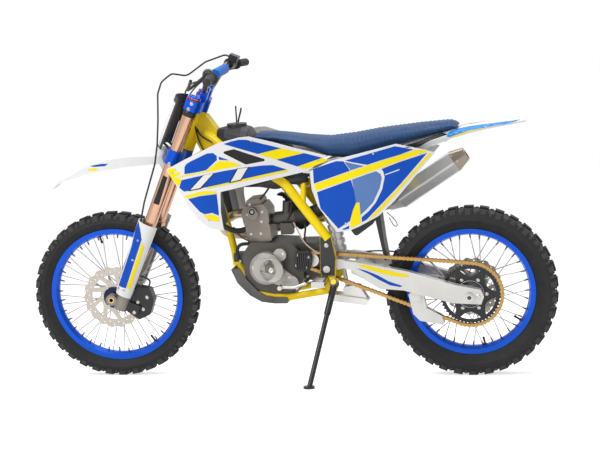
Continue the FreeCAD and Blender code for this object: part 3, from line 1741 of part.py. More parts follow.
def brake_pedal():
    root = frame_plate_outer + plate_inset
    start = pivot_point + Vector(0, root + pedal_inner, 0)
    route = [start + Vector(u * pedal_reach, v * pedal_outset, w * pedal_reach)
             for u, v, w in pedal_shares]
    pin = disc(route[0].x, route[0].z, pedal_pin_radius, root + pedal_pin_gap,
               root + pedal_pin_gap + pedal_pin_length)
    tip = disc(route[-1].x, route[-1].z, pedal_tip_radius, root + pedal_inner,
               root + pedal_inner + pedal_tip_length)
    return fused([pin, pipe(route, pedal_radius, pedal_bend), tip])


# Rear suspension
shock_top_lead = 14.0
shock_top_rise = 357.0
shock_low_setback = 62.0
shock_low_drop = 113.0
shock_top = Vector(pivot_x - shock_top_lead, 0, pivot_z + shock_top_rise)
shock_low = Vector(pivot_x + shock_low_setback, 0, pivot_z - shock_low_drop)
spring_radius = 30.0
spring_core_radius = 24.0
spring_turns = 8
spring_start_share = 0.18
spring_end_share = 0.68
spring_wire_share = 0.55
damper_radius = 20.0
damper_end_share = 0.7
shaft_radius = 9.0
shaft_end_share = 0.98
shock_eye_radius = 14.0
shock_eye_half_width = 16.0
shock_pin_radius = 6.0
mount_radius = 12.0
mount_ear_wall = 8.0
mount_setback = 66.0
mount_drop = 28.0


def shock_point(share):
    return shock_top + (shock_low - shock_top) * share


def rear_shock():
    # Damper, its shaft and the coils round it, drawn as a stack of rings
    pieces = [
        rod(shock_top, shock_point(damper_end_share), damper_radius),
        rod(shock_point(damper_end_share), shock_point(shaft_end_share), shaft_radius),
        rod(shock_point(spring_start_share), shock_point(spring_end_share), spring_core_radius),
    ]
    pitch = (spring_end_share - spring_start_share) / spring_turns
    for i in range(spring_turns):
        start = spring_start_share + i * pitch
        pieces.append(rod(shock_point(start), shock_point(start + pitch * spring_wire_share),
                          spring_radius))
    for end in (shock_top, shock_low):
        pieces.append(disc(end.x, end.z, shock_eye_radius,
                           -shock_eye_half_width, shock_eye_half_width))
    # The top end is narrowed to pass between the ears of the frame's mount
    ear_room = shock_eye_half_width + seat_gap
    inside = block(Vector(0, -ear_room, shock_top.z - overrun),
                   Vector(wheelbase, ear_room, shock_top.z + overrun))
    below = block(Vector(0, -overrun, 0), Vector(wheelbase, overrun, shock_top.z - overrun))
    whole = fused(pieces).common(fused([inside, below]))
    for end in (shock_top, shock_low):
        whole = whole.cut(disc(end.x, end.z, shock_pin_radius + seat_gap, -overrun, overrun))
    return whole


def shock_mount():
    # Cross tube between the seat stubs, with the two ears and the pin for the shock
    half_width = rail_points(1)[0].y
    tube_x = shock_top.x - mount_setback
    tube_z = shock_top.z - mount_drop
    tube = across(tube_x, tube_z, half_width, mount_radius)
    outline = [
        (tube_x, tube_z - mount_radius), (shock_top.x, shock_top.z - shock_eye_radius),
        (shock_top.x + shock_eye_radius, shock_top.z), (shock_top.x, shock_top.z + shock_eye_radius),
        (tube_x, tube_z + mount_radius),
    ]
    inner = shock_eye_half_width + 2 * seat_gap
    outer = inner + mount_ear_wall
    ear = slab(outline, -outer, -inner)
    pin = disc(shock_top.x, shock_top.z, shock_pin_radius, -outer, outer)
    return fused([tube, ear, mirrored(ear), pin])


# Shares of the rocker's and the link's outlines, from the shock's lower eye
rocker_shares = [
    (-0.22, -0.17), (0.9, -0.93), (1.0, -0.67), (0.59, 0.33), (0.32, 0.33), (-0.2, 0.27),
]
rocker_length = 82.0
rocker_height = 60.0
rocker_inner = 17.0
rocker_wall = 9.0
link_front_setback = 3.0
link_front_drop = 137.0
link_rear_setback = 136.0
link_rear_drop = 159.0
link_front_x = pivot_x + link_front_setback
link_front_z = pivot_z - link_front_drop
link_rear_x = pivot_x + link_rear_setback
link_rear_z = pivot_z - link_rear_drop
link_eye_radius = 14.0
link_pin_radius = 6.0
link_lug_half_width = 20.0
link_wall = 8.0
link_corner = 8.0


def linkage():
    # Rocker under the shock and the link that ties it to the frame's lug
    outline = scaled(rocker_shares, shock_low.x, shock_low.z, rocker_length, rocker_height)
    rocker_outer = rocker_inner + rocker_wall
    link_inner = rocker_outer + 3 * seat_gap
    link_outer = link_inner + link_wall
    rocker = slab(outline, -rocker_outer, -rocker_inner, link_corner)
    link = slab([
        (link_front_x - link_eye_radius, link_front_z - link_eye_radius),
        (link_rear_x, link_rear_z - link_eye_radius),
        (link_rear_x + link_eye_radius, link_rear_z),
        (link_rear_x, link_rear_z + link_eye_radius),
        (link_front_x - link_eye_radius, link_front_z + link_eye_radius),
    ], -link_outer, -link_inner, link_corner)
    pins = [
        disc(shock_low.x, shock_low.z, shock_pin_radius, -rocker_outer, rocker_outer),
        disc(link_rear_x, link_rear_z, link_pin_radius, -link_outer, link_outer),
        disc(link_front_x, link_front_z, link_pin_radius, -link_outer, link_outer),
    ]
    return fused([rocker, mirrored(rocker), link, mirrored(link)] + pins)


# Swingarm, drive and side stand
arm_top_shares = [
    (0.0, 0.93), (0.06, 0.96), (0.2, 0.905), (0.41, 0.8), (0.58, 0.7),
    (0.89, 0.44), (1.08, 0.33), (1.1, 0.2),
]
arm_low_shares = [
    (1.08, 0.05), (0.88, 0.08), (0.54, 0.34), (0.37, 0.38), (0.285, 0.52),
    (0.17, 0.76), (0.05, 0.8), (0.0, 0.82),
]
arm_front_shares = [(0.0, -0.8), (3.0, -0.3), (3.0, 1.3), (0.0, 0.9)]
arm_cross_shares = [(0.161, 0.663), (0.283, 0.5), (0.297, 0.72), (0.211, 0.836), (0.165, 0.817)]
arm_inner = 80.0
arm_outer = 112.0
arm_height = 208.0
arm_foot = 300.0
arm_side_gap = 3.0
arm_step_front = 40.0
arm_step_back = 70.0
arm_cross_overlap = 4.0
arm_cross_corner = 10.0
chain_side_room = 6.0


def swingarm():
    length = rear_axle_x - pivot_x
    outline = scaled(arm_top_shares + arm_low_shares, pivot_x, arm_foot, length, arm_height)
    arm = slab(outline, -arm_outer, -arm_inner)
    # The front of each arm steps inwards to pass inside the frame plates
    tube_end = frame_plate_inner - arm_side_gap
    step = block(Vector(pivot_x - arm_step_front, -2 * arm_outer, 0),
                 Vector(pivot_x + arm_step_back, -tube_end, arm_foot + 2 * arm_height))
    arm = arm.cut(step)
    tube = disc(pivot_x, pivot_z, pivot_tube_radius, -tube_end, tube_end)
    front = slab(scaled(arm_front_shares, pivot_x, pivot_z, pivot_tube_radius, pivot_tube_radius),
                 -tube_end, -arm_inner)
    cross = slab(scaled(arm_cross_shares, pivot_x, arm_foot, length, arm_height),
                 -arm_inner - arm_cross_overlap, arm_inner + arm_cross_overlap, arm_cross_corner)
    whole = fused([arm, front, mirrored(arm), mirrored(front), tube, cross])
    bore = disc(pivot_x, pivot_z, pivot_shaft_radius + axle_clearance, -2 * arm_outer, 2 * arm_outer)
    axle = disc(rear_axle_x, rear_axle_z, axle_radius + axle_clearance / 3,
                -2 * arm_outer, 2 * arm_outer)
    return whole.cut(bore).cut(axle).cut(chain_room(chain_side_room))


axle_head_wall = 3.0
axle_step = 4.0


def rear_axle():
    # Hollow axle with its head, its nut and the spacers either side of the wheel
    end = arm_outer + axle_step
    shaft = disc(rear_axle_x, rear_axle_z, axle_radius, -end - axle_nut_wall - axle_step, end)
    head = disc(rear_axle_x, rear_axle_z, axle_nut_radius + axle_head_wall,
                arm_outer + seat_gap, end + axle_nut_wall)
    nut = disc(rear_axle_x, rear_axle_z, axle_nut_radius, -end - axle_nut_wall,
               -arm_outer - seat_gap)
    pieces = [shaft, head, nut]
    left = abs(chain_y) + sprocket_wall / 2 + turning_gap
    right = rear_disc_y + disc_wall / 2 + turning_gap
    pieces.append(disc(rear_axle_x, rear_axle_z, axle_nut_radius, -arm_inner + seat_gap, -left))
    pieces.append(disc(rear_axle_x, rear_axle_z, axle_nut_radius, right, arm_inner - seat_gap))
    bore = disc(rear_axle_x, rear_axle_z, axle_bore_radius, -2 * arm_outer, 2 * arm_outer)
    return fused(pieces).cut(bore)


# The two straight runs of the drive leave both sprockets at these angles
drive_slope = math.atan2(front_sprocket_z - rear_axle_z, rear_axle_x - front_sprocket_x)
drive_span = math.hypot(rear_axle_x - front_sprocket_x, front_sprocket_z - rear_axle_z)


def run_angles(offset):
    big = pitch_radius(rear_teeth) + offset
    small = pitch_radius(front_teeth) + offset
    spread = math.asin((big - small) / drive_span)
    square = math.pi / 2 - drive_slope
    return big, small, square + spread, square - spread - math.pi


def belt(offset, low, high):
    # A solid loop round both sprockets, offset from the chain's pitch line
    big, small, top, bottom = run_angles(offset)
    rear = Vector(rear_axle_x, low, rear_axle_z)
    front = Vector(front_sprocket_x, low, front_sprocket_z)
    up = Vector(math.cos(top), 0, math.sin(top))
    down = Vector(math.cos(bottom), 0, math.sin(bottom))
    forward = Vector(-math.cos(drive_slope), 0, math.sin(drive_slope))
    edges = [
        Part.LineSegment(rear + up * big, front + up * small).toShape(),
        Part.Arc(front + up * small, front + forward * small, front + down * small).toShape(),
        Part.LineSegment(front + down * small, rear + down * big).toShape(),
        Part.Arc(rear + down * big, rear - forward * big, rear + up * big).toShape(),
    ]
    return Part.Face(Part.Wire(edges)).extrude(Vector(0, high - low, 0))


def chain_station(distance):
    # Pitch-line point and its outward direction at a distance round the loop
    big, small, top, bottom = run_angles(0)
    straight = math.sqrt(drive_span ** 2 - (big - small) ** 2)
    front_wrap = small * (bottom + 2 * math.pi - top)
    rear_wrap = big * (top - bottom)
    rear = Vector(rear_axle_x, 0, rear_axle_z)
    front = Vector(front_sprocket_x, 0, front_sprocket_z)
    if distance < straight:
        share = distance / straight
        way = Vector(math.cos(top), 0, math.sin(top))
        return (rear + way * big) * (1 - share) + (front + way * small) * share, way
    distance -= straight
    if distance < front_wrap:
        angle = top + distance / small
        way = Vector(math.cos(angle), 0, math.sin(angle))
        return front + way * small, way
    distance -= front_wrap
    if distance < straight:
        share = distance / straight
        way = Vector(math.cos(bottom), 0, math.sin(bottom))
        return (front + way * small) * (1 - share) + (rear + way * big) * share, way
    angle = bottom + min(distance - straight, rear_wrap) / big
    way = Vector(math.cos(angle), 0, math.sin(angle))
    return rear + way * big, way


def chain_length():
    big, small, top, bottom = run_angles(0)
    straight = math.sqrt(drive_span ** 2 - (big - small) ** 2)
    return 2 * straight + small * (bottom + 2 * math.pi - top) + big * (top - bottom)


def chain():
    # Roller chain: wide and narrow links in turn, all the way round both sprockets
    total = chain_length()
    count = 2 * round(total / (2 * chain_pitch))
    stations = [chain_station(i * total / count) for i in range(count)]
    links = []
    for i in range(count):
        here, way = stations[i - 1]
        there, after = stations[i]
        outline = []
        for point, out, offset in ((here, way, -chain_roller_radius), (there, after, -chain_roller_radius),
                                   (there, after, chain_height / 2), (here, way, chain_height / 2)):
            corner = point + out * offset
            outline.append((corner.x, corner.z))
        half = (chain_width if i % 2 else chain_inner_width) / 2
        links.append(slab(outline, chain_y - half, chain_y + half))
    return fused(links)


def chain_room(clearance):
    # The space the chain needs, for what it passes through
    half = chain_width / 2 + clearance
    outer = belt(chain_height / 2 + clearance, chain_y - half, chain_y + half)
    return outer.cut(belt(-chain_height / 2 - clearance, chain_y - overrun, chain_y + overrun))


guide_shares = [
    (0.0, 1.0), (0.12, 0.3), (0.3, 0.06), (1.0, -0.1), (0.92, 0.22), (0.5, 0.5), (0.4, 1.1),
]
guide_x = 1226.0
guide_z = 232.0
guide_length = 142.0
guide_height = 118.0
guide_wall = 8.0
guide_gap = 2.0
guide_corner = 6.0
hanger_shares = [(0.07, 0.83), (0.352, 0.746), (0.352, 1.186), (0.07, 1.254)]
hanger_reach = 12.0


def chain_guide():
    half = chain_width / 2 + guide_wall
    outline = scaled(guide_shares, guide_x, guide_z, guide_length, guide_height)
    shoe = slab(outline, chain_y - half, chain_y + half, guide_corner)
    hanger = slab(scaled(hanger_shares, guide_x, guide_z, guide_length, guide_height),
                  -arm_inner - hanger_reach, chain_y + half, guide_corner)
    return fused([shoe, hanger]).cut(chain_room(guide_gap)).cut(swingarm())


rear_caliper_shares = [
    (-1.1, -0.25), (-0.8, -0.367), (-0.583, 0.25), (-0.8, 0.517), (-1.133, 0.367),
]
rear_caliper_inner = 16.0
rear_caliper_gap = 1.0
rear_caliper_rim_gap = 5.0


def rear_caliper():
    outline = scaled(rear_caliper_shares, rear_axle_x, rear_axle_z, rear_disc_radius, rear_disc_radius)
    body = slab(outline, rear_disc_y - rear_caliper_inner, arm_inner - rear_caliper_gap,
                caliper_corner)
    gap = disc_wall / 2 + turning_gap
    slot = disc(rear_axle_x, rear_axle_z, rear_disc_radius + rear_caliper_rim_gap,
                rear_disc_y - gap, rear_disc_y + gap)
    return body.cut(slot).cut(swingarm())


stand_setback = 32.0
stand_drop = 53.0
stand_pivot_y = -147.0
stand_pivot = Vector(pivot_x + stand_setback, stand_pivot_y, pivot_z - stand_drop)
stand_foot_x = 862.0
stand_foot_y = -372.0
stand_radius = 10.0
stand_sleeve_wall = 3.0
stand_sleeve_length = 130.0
stand_eye_radius = 16.0
stand_eye_length = 26.0
stand_eye_overlap = 5.0
stand_pin_radius = 7.0
stand_head_wall = 4.0
stand_pad_radius = 22.0
stand_pad_height = 10.0
stand_lug_shares = [(-1.5, -1.875), (0.375, -2.125), (0.875, 0.5), (-1.5, 1.25)]
stand_lug_corner = 8.0
stand_lug_gap = 4.0
# How far the pin and its head reach, as shares of the eye's half-length
pin_root_share = 2.4
pin_end_share = 1.1
head_start_share = 1.03
head_end_share = 1.4
stowed_way = Vector(0.997, -0.07, 0.065)
lean_angle = math.radians(lean)
stand_foot = Vector(
    stand_foot_x,
    stand_foot_y,
    -stand_foot_y * math.tan(lean_angle) - tyre_crown_half_width * math.sin(lean_angle),
)
stand_way = stand_foot - stand_pivot
stand_way.normalize()
stand_axis = stand_way.cross(stowed_way)
stand_axis.normalize()


def side_stand():
    # The leg hinges square to its pin, so it folds up beside the swingarm
    sleeve_end = stand_pivot + stand_way * stand_sleeve_length
    sleeve = rod(stand_pivot + stand_way * (stand_eye_radius - stand_eye_overlap), sleeve_end,
                 stand_radius + stand_sleeve_wall)
    leg = rod(sleeve_end, stand_foot - stand_way * stand_pad_height / 2, stand_radius)
    half = stand_axis * (stand_eye_length / 2)
    eye = rod(stand_pivot - half, stand_pivot + half, stand_eye_radius)
    ground = Vector(0, math.sin(lean_angle), math.cos(lean_angle))
    pad = rod(stand_foot, stand_foot + ground * stand_pad_height, stand_pad_radius)
    hole = rod(stand_pivot - half * 2, stand_pivot + half * 2, stand_pin_radius + axle_clearance)
    return fused([eye, sleeve, leg, pad]).cut(hole)


def stand_bracket():
    # Lug on the left frame plate with the pin that the stand swings on
    half = stand_axis * (stand_eye_length / 2)
    pin = rod(stand_pivot - half * pin_root_share, stand_pivot + half * pin_end_share,
              stand_pin_radius)
    head = rod(stand_pivot + half * head_start_share, stand_pivot + half * head_end_share,
               stand_pin_radius + stand_head_wall)
    lug = slab(scaled(stand_lug_shares, stand_pivot.x, stand_pivot.z,
                      stand_eye_radius, stand_eye_radius),
               stand_pivot.y + stand_lug_gap, plate_inset - spar_half_width, stand_lug_corner)
    room = rod(stand_pivot - half * head_start_share, stand_pivot + half * pin_root_share * 2,
               2 * overrun)
    return fused([lug.cut(room), pin, head])


frame_nodes = {
    "frame_head": frame_head,
    "frame_spars": frame_spars,
    "frame_cradle": frame_cradle,
    "pivot_shaft": pivot_shaft,
    "subframe": subframe,
    "engine_crankcase": crankcase,
    "cylinder_and_head": cylinder_and_head,
    "stator_cover": stator_cover,
    "clutch_cover": clutch_cover,
    "sprocket_cover": sprocket_cover,
    "front_sprocket": front_sprocket,
    "carburettor": carburettor,
    "intake_boot": intake_boot,
    "exhaust_header": exhaust_header,
    "silencer": silencer,
    "silencer_cap": silencer_cap,
    "radiators": radiators,
    "fuel_tank": fuel_tank,
    "seat": seat,
    "shrouds": shrouds,
    "side_panels": side_panels,
    "rear_fender": rear_fender,
    "airbox": airbox,
    "skid_plate": skid_plate,
    "frame_guards": frame_guards,
    "footpegs": footpegs,
    "shift_lever": shift_lever,
    "brake_pedal": brake_pedal,
    "rear_shock": rear_shock,
    "linkage": linkage,
    "swingarm": swingarm,
    "rear_axle": rear_axle,
    "chain": chain,
    "chain_guide": chain_guide,
    "rear_caliper": rear_caliper,
}
fork_nodes = {
    "fork_outer_tubes": fork_outer_tubes,
    "fork_lower_legs": fork_lower_legs,
    "front_axle": front_axle,
    "lower_clamp": lower_clamp,
    "upper_clamp": upper_clamp,
    "handlebar": handlebar,
    "bar_pad": bar_pad,
    "grips": grips,
    "bar_controls": bar_controls,
    "number_plate": number_plate,
    "front_fender": front_fender,
    "fork_guards": fork_guards,
    "front_caliper": front_caliper,
    "brake_hose": brake_hose,
}


# Turn, lean and write
steer_place = FreeCAD.Placement(
    Vector(0, 0, 0), FreeCAD.Rotation(steer_axis, rest_steer), steer_foot)
lean_place = FreeCAD.Placement(Vector(0, 0, 0), FreeCAD.Rotation(Vector(1, 0, 0), lean))


def build_upright():
    pieces = {name: make() for name, make in frame_nodes.items()}
    pieces.update(rear_wheel_pieces())
    pieces["side_stand"] = side_stand()
    front = {name: make() for name, make in fork_nodes.items()}
    front.update(front_wheel_pieces())
    for name, shape in front.items():
        shape.Placement = steer_place.multiply(shape.Placement)
        pieces[name] = shape
    return pieces


def origin_shift(pieces):
    # Floor centre of the parked machine's box
    box = FreeCAD.BoundBox()
    for shape in pieces.values():
        box.add(shape.BoundBox)
    return Vector(-box.Center.x, -box.Center.y, -box.ZMin)


def build():
    pieces = build_upright()
    for shape in pieces.values():
        shape.Placement = lean_place.multiply(shape.Placement)
    shift = origin_shift(pieces)
    for shape in pieces.values():
        shape.translate(shift)
    return pieces, shift


os.makedirs("parts", exist_ok=True)
parked, origin = build()
for name, shape in parked.items():
    shape.exportStep("parts/" + name + ".step")
print(len(parked), "nodes, origin moved by", origin)
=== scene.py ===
import json
import math

import bmesh
import bpy
from mathutils import Matrix, Vector
from mathutils.bvhtree import BVHTree
from mathutils.geometry import delaunay_2d_cdt


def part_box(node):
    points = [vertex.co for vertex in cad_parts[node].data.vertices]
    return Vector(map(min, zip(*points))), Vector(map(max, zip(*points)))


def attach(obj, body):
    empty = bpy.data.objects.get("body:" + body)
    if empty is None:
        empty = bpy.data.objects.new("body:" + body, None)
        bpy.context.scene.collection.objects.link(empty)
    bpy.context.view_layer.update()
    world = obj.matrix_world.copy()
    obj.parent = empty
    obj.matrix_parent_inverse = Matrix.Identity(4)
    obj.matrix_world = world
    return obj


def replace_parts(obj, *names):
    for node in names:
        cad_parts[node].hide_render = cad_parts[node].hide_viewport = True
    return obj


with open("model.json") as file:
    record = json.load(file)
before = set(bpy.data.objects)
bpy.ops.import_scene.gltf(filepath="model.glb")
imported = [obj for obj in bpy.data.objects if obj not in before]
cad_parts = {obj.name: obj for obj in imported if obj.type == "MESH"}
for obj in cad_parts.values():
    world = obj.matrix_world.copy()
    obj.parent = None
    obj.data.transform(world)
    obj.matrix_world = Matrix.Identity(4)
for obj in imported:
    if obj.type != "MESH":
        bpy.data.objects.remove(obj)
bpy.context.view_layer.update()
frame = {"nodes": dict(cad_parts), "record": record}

nodes = frame["nodes"]
SIDES = ((-1, "left"), (1, "right"))

# The upright machine, in millimetres: x to its tail, y to its right, z up. It leans on
# its stand, and its origin is moved to the middle of its footprint.
LEAN = math.radians(8)
SHIFT = Vector((-731.518, 172.167, 1.948))
ACROSS = Vector((0, math.cos(LEAN), math.sin(LEAN)))
UPWARDS = Vector((0, -math.sin(LEAN), math.cos(LEAN)))

# The fork stands raked and rests turned. FOOT is the point of the steering axis that
# is nearest to the front axle.
RAKE = math.radians(24.1)
FRONT_Z = 349
AXLE_LEAD = 65.5
LEG_X, LEG_Y = -22, 97.0
FOOT = Vector((AXLE_LEAD * math.cos(RAKE), 0, FRONT_Z - AXLE_LEAD * math.sin(RAKE)))
STEER = Vector((math.sin(RAKE), 0, math.cos(RAKE)))
FORK_BACK = Vector((math.cos(RAKE), 0, -math.sin(RAKE)))
TURN = Matrix.Rotation(math.radians(3), 3, STEER)

# Wheels and chain drive, as in the CAD
REAR_X, REAR_Z = 1470, 342
WHEELS = {
    "front": {"radius": 349, "width": 84, "rim": 280, "rim_width": 50,
              "flange": 31, "flange_y": 28, "rows": 36, "turn": RAKE},
    "rear": {"radius": 342, "width": 106, "rim": 255, "rim_width": 64,
             "flange": 53, "flange_y": 32, "rows": 34, "turn": 0.0},
}
SPOKES = 36
SPOKE_LEAD = math.radians(42)
CHAIN_Y = -66
CHAIN_PITCH = 15.875
REAR_TEETH, FRONT_TEETH = 50, 13
FRONT_SPROCKET = Vector((845, 490))
REAR_SPROCKET = Vector((REAR_X, REAR_Z))


def polar(r, angle):
    return r * math.cos(angle), r * math.sin(angle)


def turns(count):
    """Evenly spaced angles, once round."""
    return [2 * math.pi * i / count for i in range(count)]


def circle(r, count):
    return [polar(r, a) for a in turns(count)]


def place(x, y, z):
    """A point of the upright machine, in the row's frame."""
    return (Vector((x, 0, 0)) + ACROSS * y + UPWARDS * z + SHIFT) / 1000


def unplace(p):
    q = p * 1000 - SHIFT
    return Vector((q.x, q.dot(ACROSS), q.dot(UPWARDS)))


def row_direction(v):
    return (Vector((v.x, 0, 0)) + ACROSS * v.y + UPWARDS * v.z).normalized()


def fork_place(x, y, z):
    """A point of the straight fork: x back from the steering axis, z along it."""
    q = TURN @ (FORK_BACK * x + Vector((0, y, 0)) + STEER * z) + FOOT
    return place(q.x, q.y, q.z)


def unturned(p):
    return TURN.transposed() @ (unplace(p) - FOOT)


def fork_mirror(p):
    """The point on the fork's other side."""
    q = unturned(p)
    q = TURN @ Vector((q.x, -q.y, q.z)) + FOOT
    return place(q.x, q.y, q.z)


def wheel_place(wheel, r, angle, y):
    """A point of a wheel, at a radius and an angle from straight behind its centre."""
    x, z = polar(r, angle)
    if wheel == "front":
        return fork_place(x - AXLE_LEAD, y, z)
    return place(REAR_X + x, y, REAR_Z + z)


FRONT_AXIS = row_direction(TURN @ Vector((0, 1, 0)))


# Materials
ROUGH_SPREAD = 0.05
GRAIN_DEPTH = 0.001
WAVE_SCALE = 0.31


def node_of(tree, kind, values=None, links=None, **settings):
    """A shader node with its settings, constant inputs and incoming links."""
    made = tree.nodes.new(kind)
    for key, value in settings.items():
        setattr(made, key, value)
    for key, value in (values or {}).items():
        made.inputs[key].default_value = value
    for key, source in (links or {}).items():
        tree.links.new(source, made.inputs[key])
    return made


def surface(name, color, rough=0.4, metal=0.0, grain=1500.0, bump=0.02, wear=0.05, coat=0.0,
            stretch=(1, 1, 1), ribs=None, patch=9.0, gloss=0.5):
    """A finish: slow colour variation, fine roughness and grain, and ribs if given."""
    mat = bpy.data.materials.new(name)
    mat.use_nodes = True
    tree = mat.node_tree
    where = node_of(tree, "ShaderNodeTexCoord").outputs["Object"]
    slow = node_of(tree, "ShaderNodeTexNoise", {"Scale": patch, "Detail": 6.0}, {"Vector": where})
    tint = node_of(tree, "ShaderNodeValToRGB", links={"Fac": slow.outputs["Fac"]})
    for stop, position, change in zip(tint.color_ramp.elements, (0.35, 0.65), (-wear, wear)):
        stop.position = position
        stop.color = (*[min(1.0, c * (1 + change)) for c in color], 1)
    scale = node_of(tree, "ShaderNodeMapping", {"Scale": stretch}, {"Vector": where})
    fine = node_of(tree, "ShaderNodeTexNoise", {"Scale": grain, "Detail": 4.0},
                   {"Vector": scale.outputs["Vector"]}).outputs["Fac"]
    roughness = node_of(tree, "ShaderNodeMapRange",
                        {"To Min": max(rough - ROUGH_SPREAD, 0.02),
                         "To Max": min(rough + ROUGH_SPREAD, 1.0)}, {"Value": fine})
    normal = node_of(tree, "ShaderNodeBump", {"Strength": bump, "Distance": GRAIN_DEPTH},
                     {"Height": fine})
    if ribs:
        turn, pitch, depth = ribs
        turned = node_of(tree, "ShaderNodeMapping", {"Rotation": turn}, {"Vector": where})
        wave = node_of(tree, "ShaderNodeTexWave", {"Scale": WAVE_SCALE / pitch},
                       {"Vector": turned.outputs["Vector"]})
        normal = node_of(tree, "ShaderNodeBump", {"Strength": 0.5, "Distance": depth},
                         {"Height": wave.outputs["Fac"], "Normal": normal.outputs["Normal"]})
    bsdf = tree.nodes["Principled BSDF"]
    bsdf.inputs["Metallic"].default_value = metal
    bsdf.inputs["Coat Weight"].default_value = coat
    bsdf.inputs["Specular IOR Level"].default_value = gloss
    tree.links.new(tint.outputs["Color"], bsdf.inputs["Base Color"])
    tree.links.new(roughness.outputs["Result"], bsdf.inputs["Roughness"])
    tree.links.new(normal.outputs["Normal"], bsdf.inputs["Normal"])
    return mat


def ringed(name, color, rough, centre, axis, pitch):
    """Tyre rubber with fine moulded rings about the wheel's axis."""
    mat = surface(name, color, rough, grain=420, bump=0.12, wear=0.2, patch=30, gloss=0.35)
    tree = mat.node_tree
    where = node_of(tree, "ShaderNodeTexCoord").outputs["Object"]
    off = node_of(tree, "ShaderNodeVectorMath", {1: centre}, {0: where}, operation="SUBTRACT")
    cross = node_of(tree, "ShaderNodeVectorMath", {1: axis}, {0: off.outputs[0]},
                    operation="CROSS_PRODUCT")
    reach = node_of(tree, "ShaderNodeVectorMath", links={0: cross.outputs[0]}, operation="LENGTH")
    times = node_of(tree, "ShaderNodeMath", {1: 2 * math.pi / pitch},
                    {0: reach.outputs["Value"]}, operation="MULTIPLY")
    sine = node_of(tree, "ShaderNodeMath", links={0: times.outputs[0]}, operation="SINE")
    normal = tree.nodes["Principled BSDF"].inputs["Normal"]
    rings = node_of(tree, "ShaderNodeBump", {"Strength": 0.35, "Distance": 0.0008},
                    {"Height": sine.outputs[0], "Normal": normal.links[0].from_socket})
    tree.links.new(rings.outputs["Normal"], normal)
    return mat


paint = {}


def finish(name, color, **values):
    paint[name] = surface(name, color, **values)


YELLOW = (1.0, 0.79, 0.002)
BLUE = (0.0, 0.075, 0.5)
WHITE = (0.82, 0.82, 0.83)
TYRE_BLACK = (0.014, 0.014, 0.014)
finish("yellow_frame", (0.98, 0.7, 0.003), rough=0.36, grain=600, gloss=0.3)
finish("bare_steel", (0.5, 0.49, 0.47), rough=0.3, metal=1.0)
finish("bare_aluminium", (0.66, 0.65, 0.63), rough=0.36, metal=0.85, grain=900, bump=0.06,
       stretch=(0.2, 1, 1))
finish("cast_aluminium", (0.25, 0.225, 0.19), rough=0.5, metal=0.45, grain=900, bump=0.3,
       wear=0.14)
finish("black_plastic", (0.018, 0.018, 0.02), rough=0.5, grain=1100, bump=0.12)
finish("black_rubber", (0.02, 0.02, 0.02), rough=0.7, grain=700, bump=0.2)
finish("header_steel", (0.42, 0.34, 0.26), rough=0.32, metal=1.0, wear=0.3, patch=14)
finish("cap_metal", (0.33, 0.28, 0.22), rough=0.38, metal=0.8, grain=800, bump=0.08)
finish("seat_cover", (0.018, 0.06, 0.16), rough=0.55, grain=1400, bump=0.3, gloss=0.3,
       ribs=((0, 0, 0), 0.007, 0.0007))
finish("white_plastic", WHITE, rough=0.3, wear=0.015, gloss=0.3)
finish("shock_steel", (0.62, 0.62, 0.62), rough=0.35, metal=0.4)
finish("chain_gold", (0.45, 0.27, 0.085), rough=0.34, metal=0.8)
finish("copper_anodised", (0.6, 0.36, 0.25), rough=0.24, metal=0.95, grain=1800, bump=0.01)
finish("blue_anodised", (0.0, 0.085, 0.62), rough=0.3, metal=0.35, grain=1800, bump=0.01,
       gloss=0.3)
finish("bar_aluminium", (0.12, 0.12, 0.125), rough=0.35, metal=0.9)
finish("pad_cover", (0.0, 0.13, 0.56), rough=0.5, grain=1200, bump=0.25, gloss=0.2)
finish("black_metal", (0.02, 0.02, 0.022), rough=0.38, metal=0.4)
finish("hub_anodised", (0.006, 0.012, 0.06), rough=0.3, metal=0.6)
finish("vinyl_yellow", YELLOW, rough=0.28, wear=0.02, gloss=0.2)
finish("vinyl_blue", BLUE, rough=0.28, gloss=0.2)
finish("vinyl_pale", (0.11, 0.215, 0.48), rough=0.3, wear=0.04, gloss=0.2)
finish("vinyl_sky", (0.02, 0.26, 0.75), rough=0.3, wear=0.03, gloss=0.2)
finish("vinyl_white", WHITE, rough=0.3, wear=0.015, gloss=0.3)
finish("vinyl_black", (0.01, 0.01, 0.011), gloss=0.3)
finish("skid_grey", (0.085, 0.083, 0.078), rough=0.42, metal=0.5, grain=500, bump=0.15, wear=0.25)
finish("stand_grey", (0.025, 0.025, 0.026), rough=0.35, metal=0.5, wear=0.1)
finish("spoke_steel", (0.4, 0.39, 0.38), rough=0.3, metal=1.0)
finish("red_anodised", (0.5, 0.012, 0.008), rough=0.28, metal=0.5)
finish("clear_hose", (0.62, 0.5, 0.42), rough=0.3, coat=0.5)
finish("brown_hose", (0.06, 0.02, 0.012))
finish("core_metal", (0.035, 0.035, 0.037), rough=0.45, metal=0.7, grain=1200, bump=0.1,
       ribs=((0, math.radians(90), 0), 0.004, 0.0012))
finish("cover_alloy", (0.4, 0.38, 0.35), rough=0.42, metal=0.5, grain=700, bump=0.1, wear=0.08)
finish("dark_alloy", (0.075, 0.07, 0.062), rough=0.48, metal=0.5, grain=800, bump=0.25, wear=0.2)
finish("satin_alloy", (0.62, 0.61, 0.59), rough=0.38, metal=0.45, grain=900, bump=0.05,
       stretch=(0.15, 1, 1))
finish("can_alloy", (0.8, 0.8, 0.79), rough=0.3, metal=0.25, grain=700, bump=0.05,
       stretch=(1, 8, 8))
finish("disc_steel", (0.47, 0.43, 0.38), rough=0.34, metal=0.7, bump=0.03)
finish("brass", (0.62, 0.42, 0.16), rough=0.3, metal=0.9)
# Knob rubber is the tyre's own black rubber, glossier and painted lighter than TYRE_BLACK as a
# painted highlight on the knob tops.
finish("highlit_knob_rubber", (0.02, 0.02, 0.02), rough=0.5, grain=500, bump=0.1, wear=0.1, patch=30)
